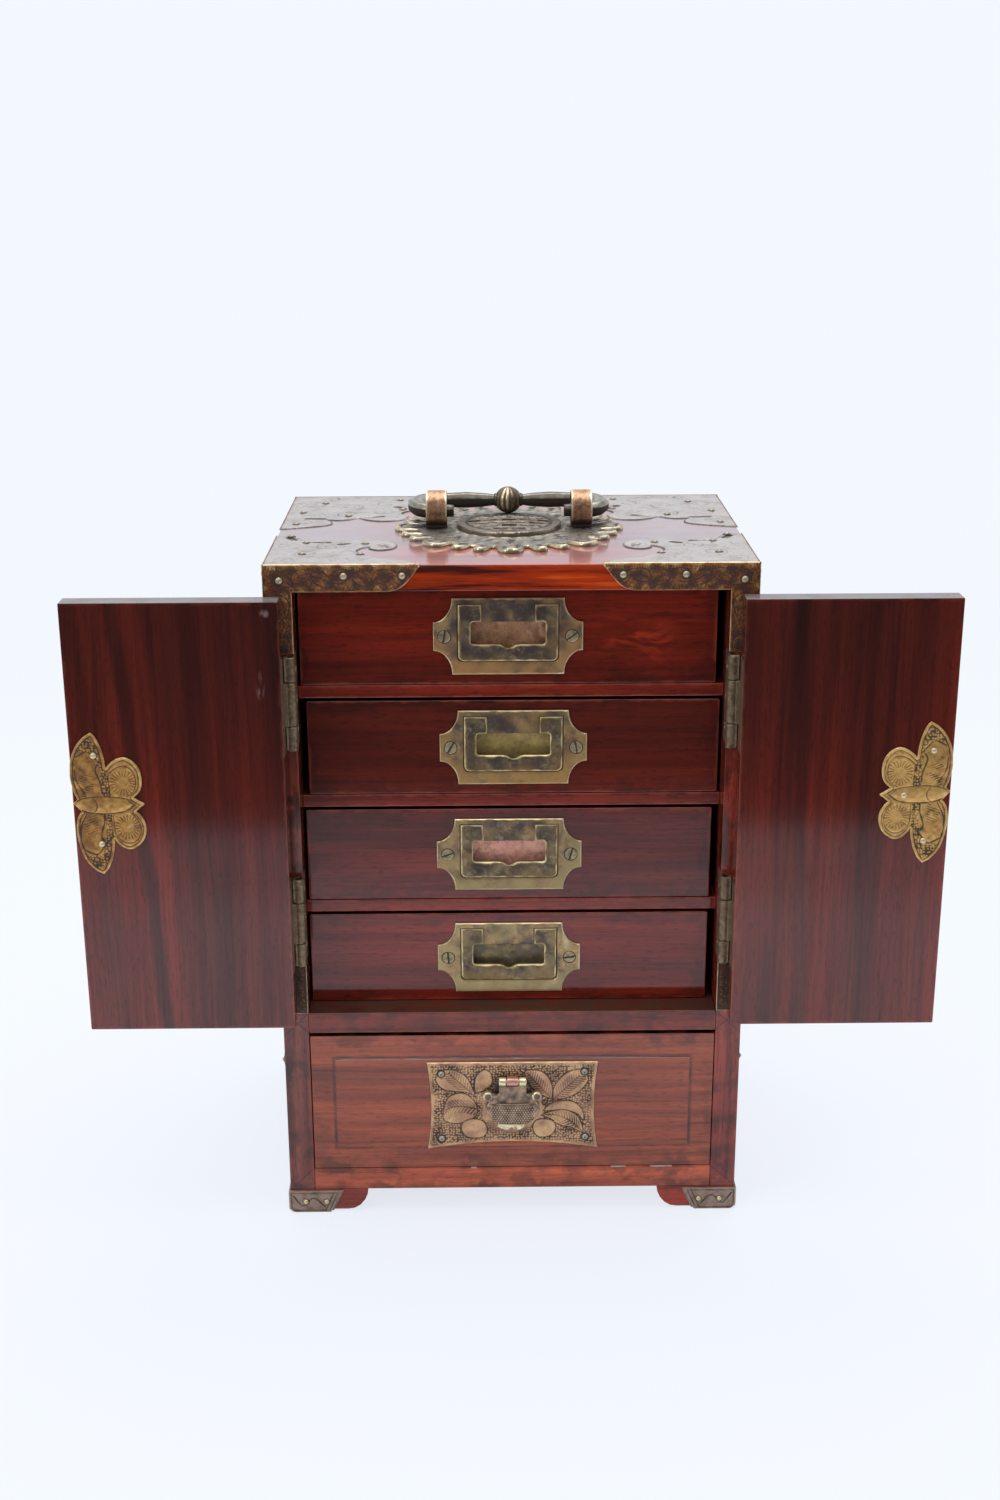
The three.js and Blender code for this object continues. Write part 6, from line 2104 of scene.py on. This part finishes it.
class CABINET_OT_foot_caps(bpy.types.Operator):
    """Gives the feet their brass caps with engraved faces and two nails each"""

    bl_idname = "cabinet.foot_caps"
    bl_label = "Foot caps"

    def execute(self, context):
        material = brass(
            "foot_cap_brass", "olive", (1.2, 1.15, 1.4), (0.75, 0.65, 0.7), stain=(0.2, 0.09, 0.05),
            stains=0.5, scale=110.0, bright=(0.5, 0.44, 0.36),
        )
        plain = brass("foot_cap_shell_brass", "olive", (1.0, 0.95, 1.1), 0.6, stains=0.4, tone=0.5)
        nail_brass = brass("foot_nail_brass", None, (0.6, 0.52, 0.34), stains=0.2, scale=240.0)
        for end, turn in ENDS.items():
            for side, sign in SIDES.items():
                node = f"foot_cap_{end}_{side}"
                dress(node, plain, 0.0002)
                x, y = (high if sign > 0 else low)(node)[0], (high if turn > 0 else low)(node)[1]
                faces, nails = Shape(), Shape()
                for right, out in ((-sign * X, turn * Y), (-turn * Y, sign * X)):
                    where = place((x, y, 0), right, Z, out)
                    faces.relief(moved(where, -0.1), cap_face(), 0.35, design=cap_design, step=0.4, rim=0.2)
                    for u in (7.4, 16.8):
                        nails.nail(moved(where, 0.2), u, 5.6, radius=1.2)
                faces.piece(node + "_engraved", "case", material, "aged_brass")
                nails.piece(node + "_nails", "case", nail_brass, "aged_brass")
        return {"FINISHED"}


# Camera, floor and light
LAMPS = {"top_lamp": ((0.1, 0.15, 1.5), 1.6), "front_lamp": ((-1.0, -1.0, 1.1), 0.7)}
LAMP_AIM = (0, 0, 0.15)
FLOOR_REACH = 4.0
SENSOR_WIDTH = 36


def add_camera(stage):
    pitch, yaw, roll = stage.aim
    forward = Vector((math.sin(yaw) * math.cos(pitch), math.cos(yaw) * math.cos(pitch), -math.sin(pitch)))
    level = Vector((math.cos(yaw), -math.sin(yaw), 0))
    above = level.cross(forward)
    right = level * math.cos(roll) + above * math.sin(roll)
    lens = bpy.data.cameras.new("camera")
    lens.lens = stage.lens
    lens.sensor_width = SENSOR_WIDTH
    camera = linked("camera", lens)
    rows = zip(right, right.cross(forward), -forward, stage.camera)
    camera.matrix_world = Matrix((*rows, (0, 0, 0, 1)))
    bpy.context.scene.camera = camera


def add_floor(stage):
    """A pale floor that fades to the plain backdrop and looks dark in reflections near the front."""
    mesh = bpy.data.meshes.new("floor")
    corners = [(x * FLOOR_REACH, y * FLOOR_REACH, 0) for x, y in ((-1, -1), (1, -1), (1, 1), (-1, 1))]
    mesh.from_pydata(corners, [], [(0, 1, 2, 3)])
    floor = linked("floor", mesh)
    material, n = new_material("pale_floor")
    spot, path = n.place(), n.add("ShaderNodeLightPath")
    y = n.parts(spot)[1]
    edge = n.ramp(y, -0.61, -0.548, 0.01, 0.68)
    nearby = n.math("MAXIMUM", edge, n.ramp(y, -0.6, -0.4, 0.0, 1.0))
    dark_ahead = n.mix(path["Is Glossy Ray"], (1, 1, 1), n.mix(nearby, (0, 0, 0), (1, 1, 1)))
    color = n.mix(1.0, dark_ahead, tuple(stage.backdrop), "MULTIPLY")
    diffuse = n.add("ShaderNodeBsdfDiffuse", {"Color": color})
    glow = n.add("ShaderNodeEmission", {"Color": stage.backdrop, "Strength": 1.0})
    distance = n.vector("LENGTH", spot, result="Value")
    far = n.ramp(distance, 0.5, 1.5, 1 - stage.shadow, 1.0) * path["Is Camera Ray"]
    mixed = n.add("ShaderNodeMixShader", {0: far, 1: diffuse[0], 2: glow[0]})
    n.add("ShaderNodeOutputMaterial", {"Surface": mixed[0]})
    mesh.materials.append(material)


def add_world(stage):
    """Even light for the shading, a darker front for reflections and the plain backdrop for the camera."""
    world = bpy.data.worlds.new("soft_world")
    bpy.context.scene.world = world
    world.use_nodes = True
    world.node_tree.nodes.clear()
    n = Nodes(world.node_tree)
    path = n.add("ShaderNodeLightPath")
    _, y, z = n.parts(n.add("ShaderNodeTexCoord")["Generated"])
    seen = n.math("MAXIMUM", n.ramp(y, -0.45, 0.2, 0.02, 1.0), n.ramp(z, 0.35, 0.9))
    plain, glossy, white = (
        n.add("ShaderNodeBackground", {"Color": stage.backdrop, "Strength": strength})[0]
        for strength in (stage.world_light, seen, 1.0)
    )
    first = n.add("ShaderNodeMixShader", {0: path["Is Glossy Ray"], 1: plain, 2: glossy})
    shown = n.math("MAXIMUM", path["Is Camera Ray"], path["Is Transmission Ray"])
    last = n.add("ShaderNodeMixShader", {0: shown, 1: first[0], 2: white})
    n.add("ShaderNodeOutputWorld", {"Surface": last[0]})


def add_lamp(name, power):
    spot, size = LAMPS[name]
    lamp = bpy.data.lights.new(name, "AREA")
    lamp.shape = "DISK"
    lamp.size = size
    lamp.energy = power
    made = linked(name, lamp)
    made.location = spot
    made.rotation_euler = (Vector(LAMP_AIM) - Vector(spot)).to_track_quat("-Z", "Y").to_euler()


class CABINET_OT_stage(bpy.types.Operator):
    """Sets up the camera, the pale floor, the backdrop and the soft light"""

    bl_idname = "cabinet.stage"
    bl_label = "Camera, floor and light"

    def execute(self, context):
        stage = context.scene.cabinet_stage
        add_camera(stage)
        add_floor(stage)
        add_world(stage)
        for name in LAMPS:
            add_lamp(name, getattr(stage, name))
        context.scene.view_settings.view_transform = "Standard"
        return {"FINISHED"}


# Operators in the order in which they run
OPERATORS = (
    CABINET_OT_case, CABINET_OT_doors, CABINET_OT_drawers, CABINET_OT_mounts, CABINET_OT_brackets,
    CABINET_OT_top_fittings, CABINET_OT_hinges, CABINET_OT_butterflies, CABINET_OT_pulls,
    CABINET_OT_base_pull, CABINET_OT_foot_caps, CABINET_OT_stage,
)


class CABINET_PT_panel(bpy.types.Panel):
    """Lists the steps that dress the cabinet"""

    bl_label = "Cabinet"
    bl_idname = "CABINET_PT_panel"
    bl_space_type = "VIEW_3D"
    bl_region_type = "UI"
    bl_category = "Cabinet"

    def draw(self, context):
        for step in OPERATORS:
            self.layout.operator(step.bl_idname)


GROUPS = {"cabinet_wood": CabinetWood, "cabinet_brass": CabinetBrass, "cabinet_stage": CabinetStage}
CLASSES = (*GROUPS.values(), *OPERATORS, CABINET_PT_panel)


def register():
    for kind in CLASSES:
        bpy.utils.register_class(kind)
    for name, kind in GROUPS.items():
        setattr(bpy.types.Scene, name, bpy.props.PointerProperty(type=kind))


def unregister():
    for name in GROUPS:
        delattr(bpy.types.Scene, name)
    for kind in reversed(CLASSES):
        bpy.utils.unregister_class(kind)


def main():
    register()
    for step in OPERATORS:
        group, name = step.bl_idname.split(".")
        getattr(getattr(bpy.ops, group), name)()


if __name__ == "__main__":
    main()
